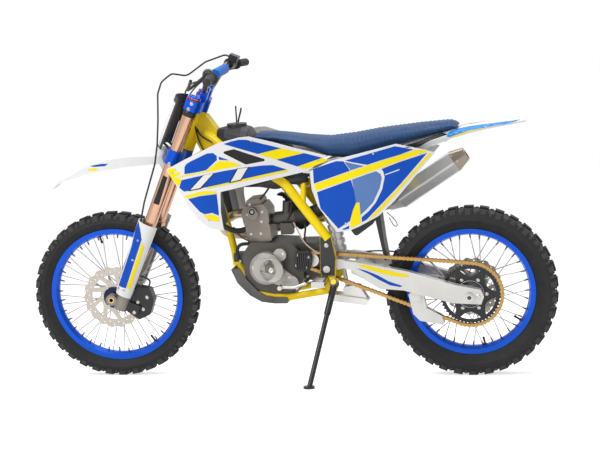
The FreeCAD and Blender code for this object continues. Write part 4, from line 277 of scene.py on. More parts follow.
paint["front_rubber"] = ringed("front_rubber", TYRE_BLACK, 0.62, place(0, 0, FRONT_Z),
                               FRONT_AXIS, 0.005)
paint["rear_rubber"] = ringed("rear_rubber", TYRE_BLACK, 0.62, place(REAR_X, 0, REAR_Z),
                              ACROSS, 0.005)

# CAD nodes take their record's slot, apart from these
paint_of = {part["node"]: part["material_slot"] for part in frame["record"]["subparts"]}
paint_of.update({
    "shrouds": "white_plastic", "side_panels": "white_plastic", "fork_guards": "white_plastic",
    "front_fender": "white_plastic", "rear_fender": "white_plastic",
    "number_plate": "black_plastic", "airbox": "black_plastic", "fuel_tank": "black_plastic",
    "frame_guards": "black_plastic", "front_tyre": "front_rubber", "rear_tyre": "rear_rubber",
    "skid_plate": "skid_grey", "side_stand": "stand_grey", "radiators": "core_metal",
    "rear_sprocket": "black_metal", "front_caliper": "black_metal", "front_axle": "brass",
    "front_hub_and_spokes": "spoke_steel", "rear_hub_and_spokes": "spoke_steel",
    "stator_cover": "cover_alloy", "clutch_cover": "cover_alloy", "footpegs": "bare_steel",
    "engine_crankcase": "dark_alloy", "carburettor": "dark_alloy", "silencer": "can_alloy",
    "swingarm": "satin_alloy", "chain_guide": "satin_alloy",
})
for name, obj in nodes.items():
    obj.data.materials.clear()
    obj.data.materials.append(paint[paint_of[name]])


# Pieces from meshes, and the CAD surfaces that they are laid on
def new_object(name, data):
    obj = bpy.data.objects.new(name, data)
    bpy.context.collection.objects.link(obj)
    return obj


def link_piece(name, mesh, mat, body, smooth=None):
    """The mesh as a piece that rides on the body."""
    mesh.materials.clear()
    mesh.materials.append(paint[mat])
    if smooth is not None:
        for f in mesh.polygons:
            f.use_smooth = smooth
    obj = new_object(name, mesh)
    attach(obj, body)
    return obj


def add_mesh(name, points, faces, mat, body, smooth=True):
    mesh = bpy.data.meshes.new(name)
    mesh.from_pydata([tuple(p) for p in points], [], faces)
    return link_piece(name, mesh, mat, body, smooth)


def curve_mesh(name, curve):
    """The curve's own mesh, without the curve."""
    line = new_object(name + "_line", curve)
    bpy.context.view_layer.update()
    graph = bpy.context.evaluated_depsgraph_get()
    mesh = bpy.data.meshes.new_from_object(line.evaluated_get(graph))
    bpy.data.objects.remove(line)
    mesh.name = name
    return mesh


def tree_of(names):
    points, faces = [], []
    for name in names:
        mesh = nodes[name].data
        start = len(points)
        points += [v.co.copy() for v in mesh.vertices]
        faces += [[start + i for i in f.vertices] for f in mesh.polygons]
    return BVHTree.FromPolygons(points, faces)


trees = {}
RAY_START = 700


def touch(names, x, z, side=-1):
    """Point and normal where a line across the machine first meets the nodes."""
    key = tuple(names)
    if key not in trees:
        trees[key] = tree_of(names)
    point, normal, _, _ = trees[key].ray_cast(place(x, side * RAY_START, z), ACROSS * -side)
    if point is None:
        return None
    return point, normal if normal.dot(ACROSS) * side > 0 else -normal


def edges_of(outline):
    return zip(outline, outline[1:] + outline[:1])


def inside(outline, x, z):
    odd = False
    for (x0, z0), (x1, z1) in edges_of(outline):
        if (z0 > z) != (z1 > z) and x < (x1 - x0) * (z - z0) / (z1 - z0) + x0:
            odd = not odd
    return odd


def filled(outline, step):
    """A fine net over a flat outline."""
    edge = []
    for (x0, z0), (x1, z1) in edges_of(outline):
        parts = max(1, int(math.hypot(x1 - x0, z1 - z0) / step))
        edge += [(x0 + (x1 - x0) * i / parts, z0 + (z1 - z0) * i / parts) for i in range(parts)]
    xs, zs = zip(*outline)
    grid = []
    x = min(xs) + step / 2
    while x < max(xs):
        z = min(zs) + step / 2
        while z < max(zs):
            if inside(outline, x, z):
                grid.append((x, z))
            z += step
        x += step
    rim = list(range(len(edge)))
    made = delaunay_2d_cdt([Vector(p) for p in edge + grid], list(edges_of(rim)), [rim], 1, 1e-4)
    return made[0], made[2]


# Vinyl graphics
VINYL = 0.7
VINYL_LAYER = 0.45
CURVED_NODES = {"fork_guards", "fork_outer_tubes", "rear_fender"}
CURVED_LIFT = 0.5
NET, CURVED_NET = 11.0, 5.0


def off_axis(v):
    return v - ACROSS * v.dot(ACROSS)


def graphic(name, on, outline, mat, layer, body):
    """Thin vinyl laid on the panels from the side; the other side is its mirror image."""
    curved = on[0] in CURVED_NODES
    flat, faces = filled(outline, CURVED_NET if curved else NET)
    proud = (VINYL + VINYL_LAYER * layer + (CURVED_LIFT if curved else 0.0)) / 1000
    for side, word in SIDES:
        mirrored = body == "fork" and side > 0
        found = [touch(on, p.x, p.y, -1 if mirrored else side) for p in flat]
        known = [h for h in found if h]
        if not known:
            continue
        points = []
        for p, h in zip(flat, found):
            if h is None:
                here = place(p.x, 0, p.y)
                near = min(known, key=lambda k: off_axis(k[0] - here).length)
                h = here + ACROSS * (near[0] - here).dot(ACROSS), near[1]
            point = h[0] + h[1] * proud
            points.append(fork_mirror(point) if mirrored else point)
        turned = [f[::-1] for f in faces] if side > 0 else faces
        add_mesh(f"{name}_{word}", points, turned, mat, body)


panels = ["shrouds", "side_panels"]
fork_nodes = {"front_fender", "fork_guards", "fork_outer_tubes"}
graphics = [
    ("upper_blue_front", panels, "vinyl_blue", 0,
     [(543, 985), (572, 993), (603, 998), (630, 996), (760, 954), (672, 938)]),
    ("upper_yellow_front", panels, "vinyl_yellow", 0,
     [(760, 954), (847, 930), (740, 911), (672, 938)]),
    ("upper_blue_rear", panels, "vinyl_blue", 0, [(847, 930), (918, 908), (819, 879), (740, 911)]),
    ("upper_yellow_rear", panels, "vinyl_yellow", 0,
     [(918, 908), (944, 898), (851, 867), (819, 879)]),
    ("front_blue", panels, "vinyl_blue", 0,
     [(382, 901), (391, 913), (406, 921), (476, 951), (500, 952), (514, 940), (514, 924),
      (469, 886), (424, 878), (380, 873)]),
    ("front_accent", panels, "vinyl_blue", 0, [(521, 937), (561, 921), (523, 924)]),
    ("front_yellow", panels, "vinyl_yellow", 0,
     [(519, 919), (561, 917), (608, 898), (532, 888), (468, 877), (427, 870), (377, 862),
      (326, 856), (379, 869), (428, 875), (471, 883)]),
    ("tip_yellow", panels, "vinyl_yellow", 0,
     [(307, 888), (320, 894), (344, 895), (350, 887), (321, 873), (358, 882), (362, 872),
      (330, 859), (360, 855), (368, 844), (350, 826), (327, 852)]),
    ("middle_blue", panels, "vinyl_blue", 0,
     [(366, 849), (431, 862), (531, 879), (613, 888), (685, 892), (725, 891), (777, 870),
      (683, 856), (622, 846), (568, 837), (513, 827), (465, 819), (420, 811), (374, 804),
      (355, 820)]),
    ("middle_yellow", panels, "vinyl_yellow", 0,
     [(777, 869), (788, 863), (683, 846), (625, 838), (568, 829), (516, 820), (468, 813),
      (465, 818), (513, 826), (568, 836), (622, 845), (683, 855)]),
    ("slash_front_edge", panels, "vinyl_black", 1,
     [(452, 866), (504, 874), (444, 813), (393, 805)]),
    ("slash_front", panels, "vinyl_white", 2,
     [(458, 866), (497, 872), (441, 817), (401, 810)]),
    ("slash_rear_edge", panels, "vinyl_black", 1,
     [(588, 886), (637, 890), (604, 839), (555, 831)]),
    ("slash_rear", panels, "vinyl_white", 2,
     [(593, 885), (631, 888), (601, 843), (563, 836)]),
    ("wing_yellow_top", panels, "vinyl_yellow", 0,
     [(371, 786), (423, 798), (456, 805), (506, 801), (506, 794), (439, 788), (387, 777)]),
    ("wing_blue", panels, "vinyl_blue", 0,
     [(390, 774), (439, 785), (506, 791), (510, 723), (510, 706), (483, 718), (453, 713),
      (435, 723)]),
    ("wing_yellow_foot", panels, "vinyl_yellow", 0,
     [(443, 711), (454, 709), (483, 712), (510, 700), (512, 682), (485, 686), (464, 693)]),
    ("panel_blue_upper", panels, "vinyl_blue", 0,
     [(1009, 897), (1140, 930), (1206, 946), (1276, 930), (1224, 913), (1146, 893), (1095, 878),
      (1036, 890)]),
    ("panel_blue_front", panels, "vinyl_blue", 0,
     [(878, 866), (973, 895), (1003, 894), (1027, 857), (945, 830), (879, 808)]),
    ("panel_pale_front", panels, "vinyl_pale", 0, [(1007, 892), (1083, 874), (1029, 858)]),
    ("panel_yellow_band", panels, "vinyl_yellow", 0,
     [(879, 805), (1025, 853), (1083, 871), (1146, 890), (1224, 911), (1283, 928), (1310, 927),
      (1330, 919), (1292, 909), (1223, 889), (1144, 863), (1025, 824), (888, 779)]),
    ("panel_blue_field", panels, "vinyl_blue", 0,
     [(890, 774), (1029, 821), (1039, 781), (1045, 732), (1031, 702), (1017, 659), (969, 629),
      (901, 709)]),
    ("panel_pale_field", panels, "vinyl_pale", 0,
     [(1033, 822), (1097, 843), (1129, 852), (1145, 841), (1150, 825), (1140, 786), (1112, 731),
      (1083, 702), (1061, 683), (1059, 732), (1045, 732), (1039, 781)]),
    ("panel_yellow_short", panels, "vinyl_yellow", 0,
     [(1046, 730), (1058, 730), (1061, 650), (1018, 631), (1018, 659), (1032, 702)]),
    ("panel_blue_foot", panels, "vinyl_blue", 0,
     [(985, 627), (1013, 641), (1013, 629), (990, 624)]),
    ("panel_blue_rear", panels, "vinyl_blue", 0,
     [(1150, 860), (1223, 885), (1327, 914), (1219, 797), (1083, 663), (1065, 654), (1064, 673),
      (1094, 697), (1124, 732), (1150, 782), (1161, 828), (1157, 849)]),
    ("panel_yellow_rear", panels, "vinyl_yellow", 0,
     [(1336, 914), (1346, 909), (1296, 859), (1148, 704), (1126, 684), (1095, 664), (1089, 663),
      (1223, 794)]),
    ("panel_white_line", panels, "vinyl_white", 1,
     [(1163, 839), (1219, 857), (1219, 853), (1163, 835)]),
    ("under_seat_band", ["rear_fender", "side_panels", "subframe"], "vinyl_black", 0,
     [(1215, 930), (1382, 982), (1405, 978), (1336, 960), (1294, 940), (1240, 938)]),
    ("tail_blue", ["rear_fender"], "vinyl_sky", 2,
     [(1400, 972), (1412, 985), (1444, 995), (1487, 1002), (1540, 1008), (1600, 1013),
      (1650, 1017), (1685, 1020), (1640, 1011), (1580, 1005), (1540, 999), (1487, 992),
      (1440, 978), (1412, 968)]),
    ("tail_yellow", ["rear_fender"], "vinyl_yellow", 0,
     [(1414, 963), (1440, 975), (1487, 990), (1540, 998), (1572, 1003), (1540, 995),
      (1487, 986), (1444, 971), (1424, 963)]),
    ("nose_blue", ["front_fender"], "vinyl_blue", 0,
     [(-46, 901), (2, 908), (32, 908), (17, 899), (-32, 897)]),
    ("nose_yellow", ["front_fender"], "vinyl_yellow", 0,
     [(-61, 886), (-33, 892), (-6, 888), (-26, 881), (-54, 881)]),
    ("arm_yellow", ["swingarm"], "vinyl_yellow", 0,
     [(1029, 478), (1064, 477), (1128, 459), (1221, 437), (1240, 430), (1235, 424), (1191, 428),
      (1137, 439), (1083, 456)]),
    ("arm_blue", ["swingarm"], "vinyl_blue", 0,
     [(1028, 464), (1068, 453), (1112, 434), (1155, 409), (1209, 389), (1199, 385), (1159, 393),
      (1116, 416), (1077, 440)]),
    ("guard_blue", ["fork_guards"], "vinyl_blue", 0,
     [(153, 675), (163, 647), (166, 604), (80, 402), (46, 411), (118, 575), (137, 642)]),
    ("guard_yellow", ["fork_guards"], "vinyl_yellow", 0,
     [(168, 594), (173, 572), (97, 395), (84, 401)]),
    ("tube_label", ["fork_outer_tubes"], "vinyl_black", 0,
     [(271, 860), (287, 850), (242, 739), (220, 748)]),
]
for name, on, mat, layer, outline in graphics:
    graphic(name, on, outline, mat, layer, "fork" if on[0] in fork_nodes else "frame")

# Plain white field on the front number plate
PLATE_OUTLINE = [(-78, 60), (-84, 250), (84, 250), (78, 60), (50, 18), (-50, 18)]
PLATE_NET = 12.0
PLATE_PROUD = 0.0009


def plate_field():
    tree = tree_of(["number_plate"])
    flat, faces = filled(PLATE_OUTLINE, PLATE_NET)
    toward = (fork_place(100, 0, 600) - fork_place(0, 0, 600)).normalized()
    low = min(unturned(v.co).z for v in nodes["number_plate"].data.vertices)
    points, met = [], []
    for p in flat:
        start = fork_place(-400, p.x, low + p.y)
        hit, normal, _, _ = tree.ray_cast(start, toward)
        met.append(hit is not None)
        if hit is None:
            points.append(start)
        else:
            points.append(hit + (-normal if normal.dot(toward) > 0 else normal) * PLATE_PROUD)
    faces = [f for f in faces if all(met[i] for i in f)]
    add_mesh("plate_field", points, faces, "vinyl_white", "fork")


plate_field()


# Turned, bent, flat and moulded pieces
def mean(points):
    return sum(points, Vector()) / len(points)


def frame_at(point, direction):
    turn = direction.normalized().to_track_quat("Z", "Y").to_matrix().to_4x4()
    return Matrix.Translation(point) @ turn


def bands(rows, count, start=0):
    """The faces between neighbouring closed rows of points."""
    faces = []
    for k in range(rows - 1):
        low, high = start + k * count, start + (k + 1) * count
        for i in range(count):
            j = (i + 1) % count
            faces.append((low + i, low + j, high + j, high + i))
    return faces


def add_lathe(store, matrix, rings, sides):
    """Rings of (radius, height) in metres, closed at both ends, for the store."""
    points, faces = store
    start = len(points)
    last = start + (len(rings) - 1) * sides
    points += [matrix @ Vector((*p, h)) for r, h in rings for p in circle(r, sides)]
    faces += bands(len(rings), sides, start)
    faces += [tuple(range(start, start + sides))[::-1], tuple(range(last, last + sides))]


def turned_piece(name, point, direction, rings, mat, body, sides):
    store = [], []
    add_lathe(store, frame_at(point, direction), rings, sides)
    return add_mesh(name, *store, mat, body)


def prism(store, outline, low, high):
    """An outline of the side view drawn out across the machine, for the store."""
    points, faces = store
    start, count = len(points), len(outline)
    points += [place(x, y, z) for y in (low, high) for x, z in outline]
    faces += [tuple(range(start, start + count))[::-1],
              tuple(range(start + count, start + 2 * count))]
    faces += bands(2, count, start)


def tube(name, points, radius, mat, body):
    """A bent hose or cable."""
    curve = bpy.data.curves.new(name, "CURVE")
    curve.dimensions = "3D"
    line = curve.splines.new("NURBS")
    line.points.add(len(points) - 1)
    for p, q in zip(line.points, points):
        p.co = (*q, 1)
    line.order_u = 4
    line.use_endpoint_u = True
    line.resolution_u = 5
    curve.bevel_depth = radius
    curve.bevel_resolution = 3
    curve.use_fill_caps = True
    link_piece(name, curve_mesh(name, curve), mat, body, smooth=True)


def middle_of(node):
    low, high = (Vector(v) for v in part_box(node))
    return (low + high) / 2


def flat_plate(name, node, loops, thick, turn, mat, body):
    """A plate with holes, from flat loops in metres, in place of a CAD node."""
    curve = bpy.data.curves.new(name, "CURVE")
    curve.dimensions = "2D"
    curve.fill_mode = "BOTH"
    curve.extrude = thick / 2
    for points in loops:
        line = curve.splines.new("POLY")
        line.points.add(len(points) - 1)
        for p, q in zip(line.points, points):
            p.co = (*q, 0, 1)
        line.use_cyclic_u = True
    mesh = curve_mesh(name, curve)
    centre = middle_of(node)
    for v in mesh.vertices:
        v.co = centre + turn @ v.co
    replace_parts(link_piece(name, mesh, mat, body), node)


def moulded(name, outline, low, high, bevel):
    """A black plate of the given outline, with rounded edges."""
    bm = bmesh.new()
    face = bm.faces.new([bm.verts.new(place(x, low, z)) for x, z in outline])
    made = bmesh.ops.extrude_face_region(bm, geom=[face])["geom"]
    moved = [e for e in made if isinstance(e, bmesh.types.BMVert)]
    bmesh.ops.translate(bm, vec=ACROSS * (high - low) / 1000, verts=moved)
    bmesh.ops.recalc_face_normals(bm, faces=bm.faces)
    bmesh.ops.bevel(bm, geom=list(bm.edges), offset=bevel, segments=3, affect="EDGES")
    mesh = bpy.data.meshes.new(name)
    bm.to_mesh(mesh)
    bm.free()
    link_piece(name, mesh, "black_plastic", "frame", smooth=True)


# Cables and hoses beside the engine and the steering head
HOSE_PAINT = {"overflow_hose": "clear_hose", "clutch_line": "brown_hose"}
for name, radius, route in (
    ("head_cable_low", 0.0035,
     [(398, -32, 1030), (410, -44, 1005), (440, -50, 985), (500, -52, 960), (560, -50, 930)]),
    ("head_cable_high", 0.003,
     [(392, -30, 1040), (397, -40, 1000), (411, -46, 960), (440, -46, 920)]),
    ("overflow_hose", 0.003,
     [(770, -52, 650), (791, -66, 620), (804, -74, 575), (845, -78, 535), (880, -84, 520)]),
    ("clutch_line", 0.0035,
     [(529, -60, 630), (548, -78, 598), (596, -84, 573), (640, -84, 562), (674, -80, 556)]),
    ("oil_hose", 0.007,
     [(545, -70, 500), (538, -74, 528), (543, -76, 555), (562, -76, 566), (600, -70, 562)]),
    ("coil_lead", 0.004,
     [(690, -40, 800), (672, -50, 768), (646, -52, 745), (628, -44, 722), (622, -30, 700)]),
    ("loom", 0.006,
     [(730, -58, 800), (757, -60, 765), (795, -58, 722), (830, -52, 690), (850, -40, 660)]),
    ("loom_branch", 0.004,
     [(770, -56, 750), (778, -66, 715), (770, -70, 680), (752, -66, 655)]),
    ("vent_hose", 0.004,
     [(800, -30, 700), (822, -50, 650), (826, -62, 610), (815, -66, 580), (822, -60, 556)]),
    ("radiator_hose", 0.011,
     [(488, -118, 668), (500, -104, 640), (530, -78, 618), (556, -58, 612), (584, -46, 622)]),
    ("tail_wire", 0.0016,
     [(1138, 58, 655), (1157, 62, 635), (1180, 62, 612), (1176, 62, 588), (1158, 62, 602),
      (1146, 62, 632)]),
    ("brake_line_rear", 0.003,
     [(1340, 84, 400), (1300, 106, 452), (1200, 106, 478), (1080, 108, 492), (980, 110, 480),
      (930, 118, 450)]),
    ("tank_breather", 0.0035,
     [(562, 0, 1048), (566, 0, 1066), (574, 0, 1084), (578, 0, 1104)]),
):
    mat = HOSE_PAINT.get(name, "black_rubber")
    tube(name, [place(*p) for p in route], radius, mat, "frame")

# Cables that turn with the handlebar
for name, radius, route in (
    ("clutch_cable", 0.003,
     [(38, -246, 1020), (10, -226, 1012), (-34, -176, 985), (-62, -110, 945), (-74, -45, 905),
      (-74, -12, 850), (-62, 0, 780)]),
    ("throttle_cable", 0.003,
     [(38, 262, 1020), (10, 232, 1006), (-34, 172, 970), (-62, 100, 930), (-72, 36, 880),
      (-70, 18, 820), (-60, 12, 780)]),
):
    tube(name, [fork_place(*p) for p in route], radius, "black_rubber", "fork")

# Bolts. A head is rings of (radius, height) for a bolt of radius 1, with its sides.
FLANGE = ((1.45, 0), (1.45, 0.2), (1.2, 0.35)), 16
HEXAGON = ((1.05, 0.3), (1.05, 1), (0.88, 1.15)), 6
SOCKET = ((1, 0.3), (1, 0.95), (0.85, 1.1), (0.5, 1.1), (0.45, 0.6)), 12
BOLT_SUNK = 0.0008
LEAST_FACING = 0.85
hardware = {}


def bolt(body, point, normal, r, head):
    """A flanged bolt that stands on a face."""
    store = hardware.setdefault(body, ([], []))
    matrix = frame_at(point - normal * BOLT_SUNK, normal)
    for rings, sides in (FLANGE, head):
        add_lathe(store, matrix, [(r * a, r * h) for a, h in rings], sides)


def bolt_on(names, body, x, z, side, r, head, least=LEAST_FACING):
    """A bolt where the nodes face the side enough."""
    hit = touch(names, x, z, side)
    if hit and hit[1].dot(ACROSS) * side > least:
        bolt(body, *hit, r, head)


def bolt_circle(node, body, x, z, radius, count, side, r, phase=0.0):
    for a in turns(count):
        u, v = polar(radius, phase + a)
        bolt_on([node], body, x + u, z + v, side, r, HEXAGON)


bolt_circle("stator_cover", "frame", 690, 466, 74, 9, -1, 0.0042, 0.2)
bolt_circle("clutch_cover", "frame", 697, 470, 70, 9, 1, 0.0042, 0.4)
bolt_circle("sprocket_cover", "frame", 812, 494, 30, 4, -1, 0.0038, 0.6)
for names, r, head, least, spots in (
    (["cylinder_and_head"], 0.0042, HEXAGON, LEAST_FACING,
     [(600, 600), (640, 600), (590, 680), (650, 690), (600, 720), (645, 650)]),
    (["engine_crankcase"], 0.0045, HEXAGON, LEAST_FACING,
     [(560, 430), (540, 480), (820, 420), (850, 470), (600, 380), (780, 380)]),
    (["frame_guards"], 0.006, SOCKET, LEAST_FACING, [(915, 560), (925, 470), (905, 400)]),
    (panels, 0.0038, SOCKET, LEAST_FACING,
     [(330, 880), (560, 956), (470, 690), (650, 990), (900, 900), (1000, 650), (1300, 915),
      (1120, 920)]),
    (["silencer", "silencer_cap"], 0.0035, SOCKET, 0.3,
     [(1180, 700), (1160, 720), (1400, 870), (1380, 886), (1425, 850)]),
    (["swingarm"], 0.007, HEXAGON, LEAST_FACING, [(1480, 342), (1505, 342)]),
):
    for x, z in spots:
        for side, _ in SIDES:
            bolt_on(names, "frame", x, z, side, r, head, least)
bolt_circle("rear_brake_disc", "rear_wheel", REAR_X, REAR_Z, 44, 6, 1, 0.005)
bolt_circle("front_brake_disc", "front_wheel", 0, FRONT_Z, 44, 6, -1, 0.005)

# The fork's bolts are found on its left; those of the guards and clamps are mirrored
for names, r, least, mirrored, spots in (
    (["fork_guards"], 0.0045, 0.0, True, [(46, 400), (70, 394), (120, 520), (150, 600)]),
    (["lower_clamp", "upper_clamp"], 0.005, 0.5, True,
     [(300, 905), (286, 900), (395, 1120), (410, 1140)]),
    (["front_caliper"], 0.005, 0.7, False, [(110, 330), (130, 300), (150, 350), (95, 290)]),
):
    for x, z in spots:
        hit = touch(names, x, z)
        if hit and -hit[1].dot(ACROSS) > least:
            bolt("fork", *hit, r, SOCKET)
            if mirrored:
                bolt("fork", fork_mirror(hit[0]), ACROSS, r, SOCKET)

# Rings and caps at the tops of the fork tubes
RING_EDGE = 0.0015
for side, word in SIDES:
    for name, low, high, radius, mat in (
        ("fork_collar", 833, 856, 0.0278, "black_metal"),
        ("fork_cap", 909, 917, 0.0266, "blue_anodised"),
        ("fork_ring", 902.5, 908.5, 0.0276, "red_anodised"),
    ):
        foot = fork_place(LEG_X, side * LEG_Y, low)
        head = fork_place(LEG_X, side * LEG_Y, high)
        length = (head - foot).length
        rings = [(radius - RING_EDGE, 0), (radius, RING_EDGE), (radius, length - RING_EDGE),
                 (radius - RING_EDGE, length)]
        if name == "fork_cap":
            rings += [(0.016, length), (0.015, length - 0.002), (0.009, length - 0.002),
                      (0.008, length + 0.002)]
        turned_piece(f"{name}_{word}", foot, head - foot, rings, mat, "fork", 40)

# Drain cap low on the engine's left side
turned_piece("drain_cap", place(713, -84, 380), -ACROSS,
             [(0.012, 0), (0.012, 0.006), (0.008, 0.007), (0.008, 0.016), (0.006, 0.018)],
             "red_anodised", "frame", 6)

# Dark screens behind the shroud vents
VENT = [(512, 960), (578, 976), (650, 962), (738, 910), (700, 896), (622, 882), (560, 905)]
VENT_INWARD = 0.004
for side, word in SIDES:
    hits = [touch(["shrouds"], x, z, side) for x, z in VENT]
    rim = [h[0] - ACROSS * side * VENT_INWARD for h in hits if h]
    middle = mean(rim)
    net = [middle + (p - middle) * share for share in (0.0, 0.35, 0.7, 1.0) for p in rim]
    add_mesh(f"vent_screen_{word}", net, bands(4, len(rim)), "vinyl_black", "frame")

# Underside of the tank above the engine
TANK_SKIRT = [(572, 800), (646, 818), (780, 846), (848, 848), (858, 815), (822, 802),
              (779, 806), (742, 790), (717, 787), (660, 798)]
for side, word in SIDES:
    moulded(f"tank_skirt_{word}", TANK_SKIRT, side * 108, side * 94, 0.004)

# Wave-edged brake discs with windows and small holes, in place of the plain ones
DISC_THICK, DISC_BORE = 0.004, 0.0215
WAVES, WAVE_DEPTH, WAVE_INSET, WAVE_POINTS = 18, 0.0033, 0.0035, 288
WINDOWS, WINDOW_SHARE, WINDOW_TWIST = 9, 0.74, 0.28
WINDOW_INNER, WINDOW_INSET = 0.058, 0.036
HOLES, HOLE_RADIUS, HOLE_INSETS = 36, 0.0032, (0.023, 0.013)


def rotor(name, node, axis, radius, body):
    edge = [polar(radius - WAVE_INSET + WAVE_DEPTH * math.cos(WAVES * a), a)
            for a in turns(WAVE_POINTS)]
    loops = [edge, circle(DISC_BORE, 48)]
    half = math.pi / WINDOWS * WINDOW_SHARE
    for a in turns(WINDOWS):
        loops.append([polar(radius - WINDOW_INSET, a + half * t / 6) for t in range(-6, 7)]
                     + [polar(WINDOW_INNER, a + WINDOW_TWIST + half * t / 8)
                        for t in range(4, -5, -1)])
    for i, a in enumerate(turns(HOLES)):
        x, y = polar(radius - HOLE_INSETS[i % 2], a + math.pi / HOLES)
        loops.append([(x + u, y + v) for u, v in circle(HOLE_RADIUS, 10)])
    turn = axis.to_track_quat("Z", "Y").to_matrix()
    flat_plate(name, node, loops, DISC_THICK, turn, "disc_steel", body)


rotor("front_rotor", "front_brake_disc", FRONT_AXIS, 0.13, "front_wheel")
rotor("rear_rotor", "rear_brake_disc", ACROSS, 0.12, "rear_wheel")

# Dark anodised carrier of the front disc, over the wire ends
turned_piece("front_carrier", middle_of("front_brake_disc") - FRONT_AXIS * 0.0022, -FRONT_AXIS,
             [(0.045, 0), (0.045, 0.002), (0.0405, 0.004), (0.02475, 0.006), (0.0225, 0.006)],
             "hub_anodised", "front_wheel", 48)

# Camshaft plug in the head's left side, and the stator cover's raised ring and centre
for node, x, z, pieces in (
    ("cylinder_and_head", 612, 693, (
        ("head_plug_ring", "cover_alloy", 32,
         [(0.017, -0.001), (0.017, 0.003), (0.0145, 0.0045), (0.0135, 0.0045), (0.013, 0.002)]),
        ("head_plug", "vinyl_black", 32,
         [(0.0128, 0), (0.0128, 0.0022), (0.009, 0.003), (0.006, 0.0016)]))),
    ("stator_cover", 690, 466, (
        ("stator_ring", "cover_alloy", 64,
         [(0.05, -0.002), (0.05, 0), (0.048, 0.0012), (0.0455, 0.0012), (0.044, 0)]),
        ("stator_centre", "bare_steel", 32,
         [(0.011, -0.001), (0.011, 0.0012), (0.008, 0.0022), (0.004, 0.0022),
          (0.0035, 0.001)]))),
):
    spot, _ = touch([node], x, z)
    for name, mat, sides, rings in pieces:
        turned_piece(name, spot, -ACROSS, rings, mat, "frame", sides)

# Roller chain: figure-of-eight plates, rollers and pins round both sprockets, in
# millimetres. A roller and a pin have a radius, a number of sides and half a length.
LINK_END, LINK_WAIST = 7.3, 4.9
PLATE_THICK, INNER_PLATE, OUTER_PLATE = 1.3, 5.6, 7.4
ROLLER = 5.0, 12, 5.4
PIN = 2.5, 8, 9.4


def chain_stations():
    """The pins' centres, from the top of the rear sprocket forwards and round."""
    rear, front = REAR_SPROCKET, FRONT_SPROCKET
    big, small = (CHAIN_PITCH / (2 * math.sin(math.pi / n)) for n in (REAR_TEETH, FRONT_TEETH))
    slope = math.atan2(front.y - rear.y, rear.x - front.x)
    span = (rear - front).length
    spread = math.asin((big - small) / span)
    top = math.pi / 2 - slope + spread
    bottom = -math.pi / 2 - slope - spread
    straight = math.sqrt(span ** 2 - (big - small) ** 2)
    front_wrap = small * (bottom + 2 * math.pi - top)
    total = 2 * straight + front_wrap + big * (top - bottom)
    count = 2 * round(total / (2 * CHAIN_PITCH))

    def way(angle):
        return Vector(polar(1, angle))

    made = []
    for i in range(count):
        d = i * total / count
        if d < straight:
            made.append((rear + way(top) * big).lerp(front + way(top) * small, d / straight))
        elif d < straight + front_wrap:
            made.append(front + way(top + (d - straight) / small) * small)
        elif d < 2 * straight + front_wrap:
            share = (d - straight - front_wrap) / straight
            made.append((front + way(bottom) * small).lerp(rear + way(bottom) * big, share))
        else:
            made.append(rear + way(bottom + (d - 2 * straight - front_wrap) / big) * big)
    return made


store = [], []
for i, (here, there) in enumerate(edges_of(chain_stations())):
    along = (there - here).normalized()
    out = Vector((-along.y, along.x))
    link = []
    for centre, sign in ((there, 1), (here, -1)):
        for k in range(-5, 6):
            u, v = polar(sign * LINK_END, math.radians(24 * k))
            link.append(centre + along * u + out * v)
        link.append((here + there) / 2 + out * (sign * LINK_WAIST))
    plate = OUTER_PLATE if i % 2 else INNER_PLATE
    for side, _ in SIDES:
        prism(store, link, CHAIN_Y + side * plate, CHAIN_Y + side * (plate + PLATE_THICK))
    for radius, count, half in (ROLLER, PIN):
        round_one = [here + Vector(p) for p in circle(radius, count)]
        prism(store, round_one, CHAIN_Y - half, CHAIN_Y + half)
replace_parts(add_mesh("chain_links", *store, "chain_gold", "frame", smooth=False), "chain")

# Toothed rear sprocket with six windows. The outlines are (turn, radius).
SPROCKET_THICK, SPROCKET_BORE = 0.0056, 0.05
SPROCKET_ARMS, ARM_TURN = 6, 0.5
WINDOW_TOP, WINDOW_STEP = 0.102, 0.068
TOOTH = (-0.042, 0.1153), (-0.02, 0.1197), (0, 0.1207), (0.02, 0.1197), (0.042, 0.1153)
WINDOW_FOOT = (0.3, 0.084), (0.14, 0.074), (0, 0.072), (-0.14, 0.074), (-0.3, 0.084)
loops = [[polar(r, a + turn) for a in turns(REAR_TEETH) for turn, r in TOOTH],
         circle(SPROCKET_BORE, 60)]
for a in turns(SPROCKET_ARMS):
    loops.append([polar(WINDOW_TOP, a + ARM_TURN + WINDOW_STEP * t) for t in range(-6, 7)]
                 + [polar(r, a + ARM_TURN + turn) for turn, r in WINDOW_FOOT])
sprocket_turn = Matrix((Vector((1, 0, 0)), UPWARDS, -ACROSS)).transposed()
flat_plate("sprocket_plate", "rear_sprocket", loops, SPROCKET_THICK, sprocket_turn,
           "black_metal", "rear_wheel")
sprocket_face = place(REAR_X, -63.5, REAR_Z)
turned_piece("rear_carrier", sprocket_face, -ACROSS,
             [(0.054, 0), (0.054, 0.004), (0.0515, 0.0055), (0.049, 0.0055), (0.047, 0.004),
              (0.03, 0.003)], "hub_anodised", "rear_wheel", 64)
turned_piece("rear_carrier_ring", sprocket_face - ACROSS * 0.004, -ACROSS,
             [(0.0545, 0), (0.0545, 0.0016), (0.0525, 0.0016), (0.0525, 0.0008)],
             "bare_steel", "rear_wheel", 64)
for a in turns(SPROCKET_ARMS):
    bolt("rear_wheel", wheel_place("rear", 64, a, -68.9), -ACROSS, 0.0048, SOCKET)

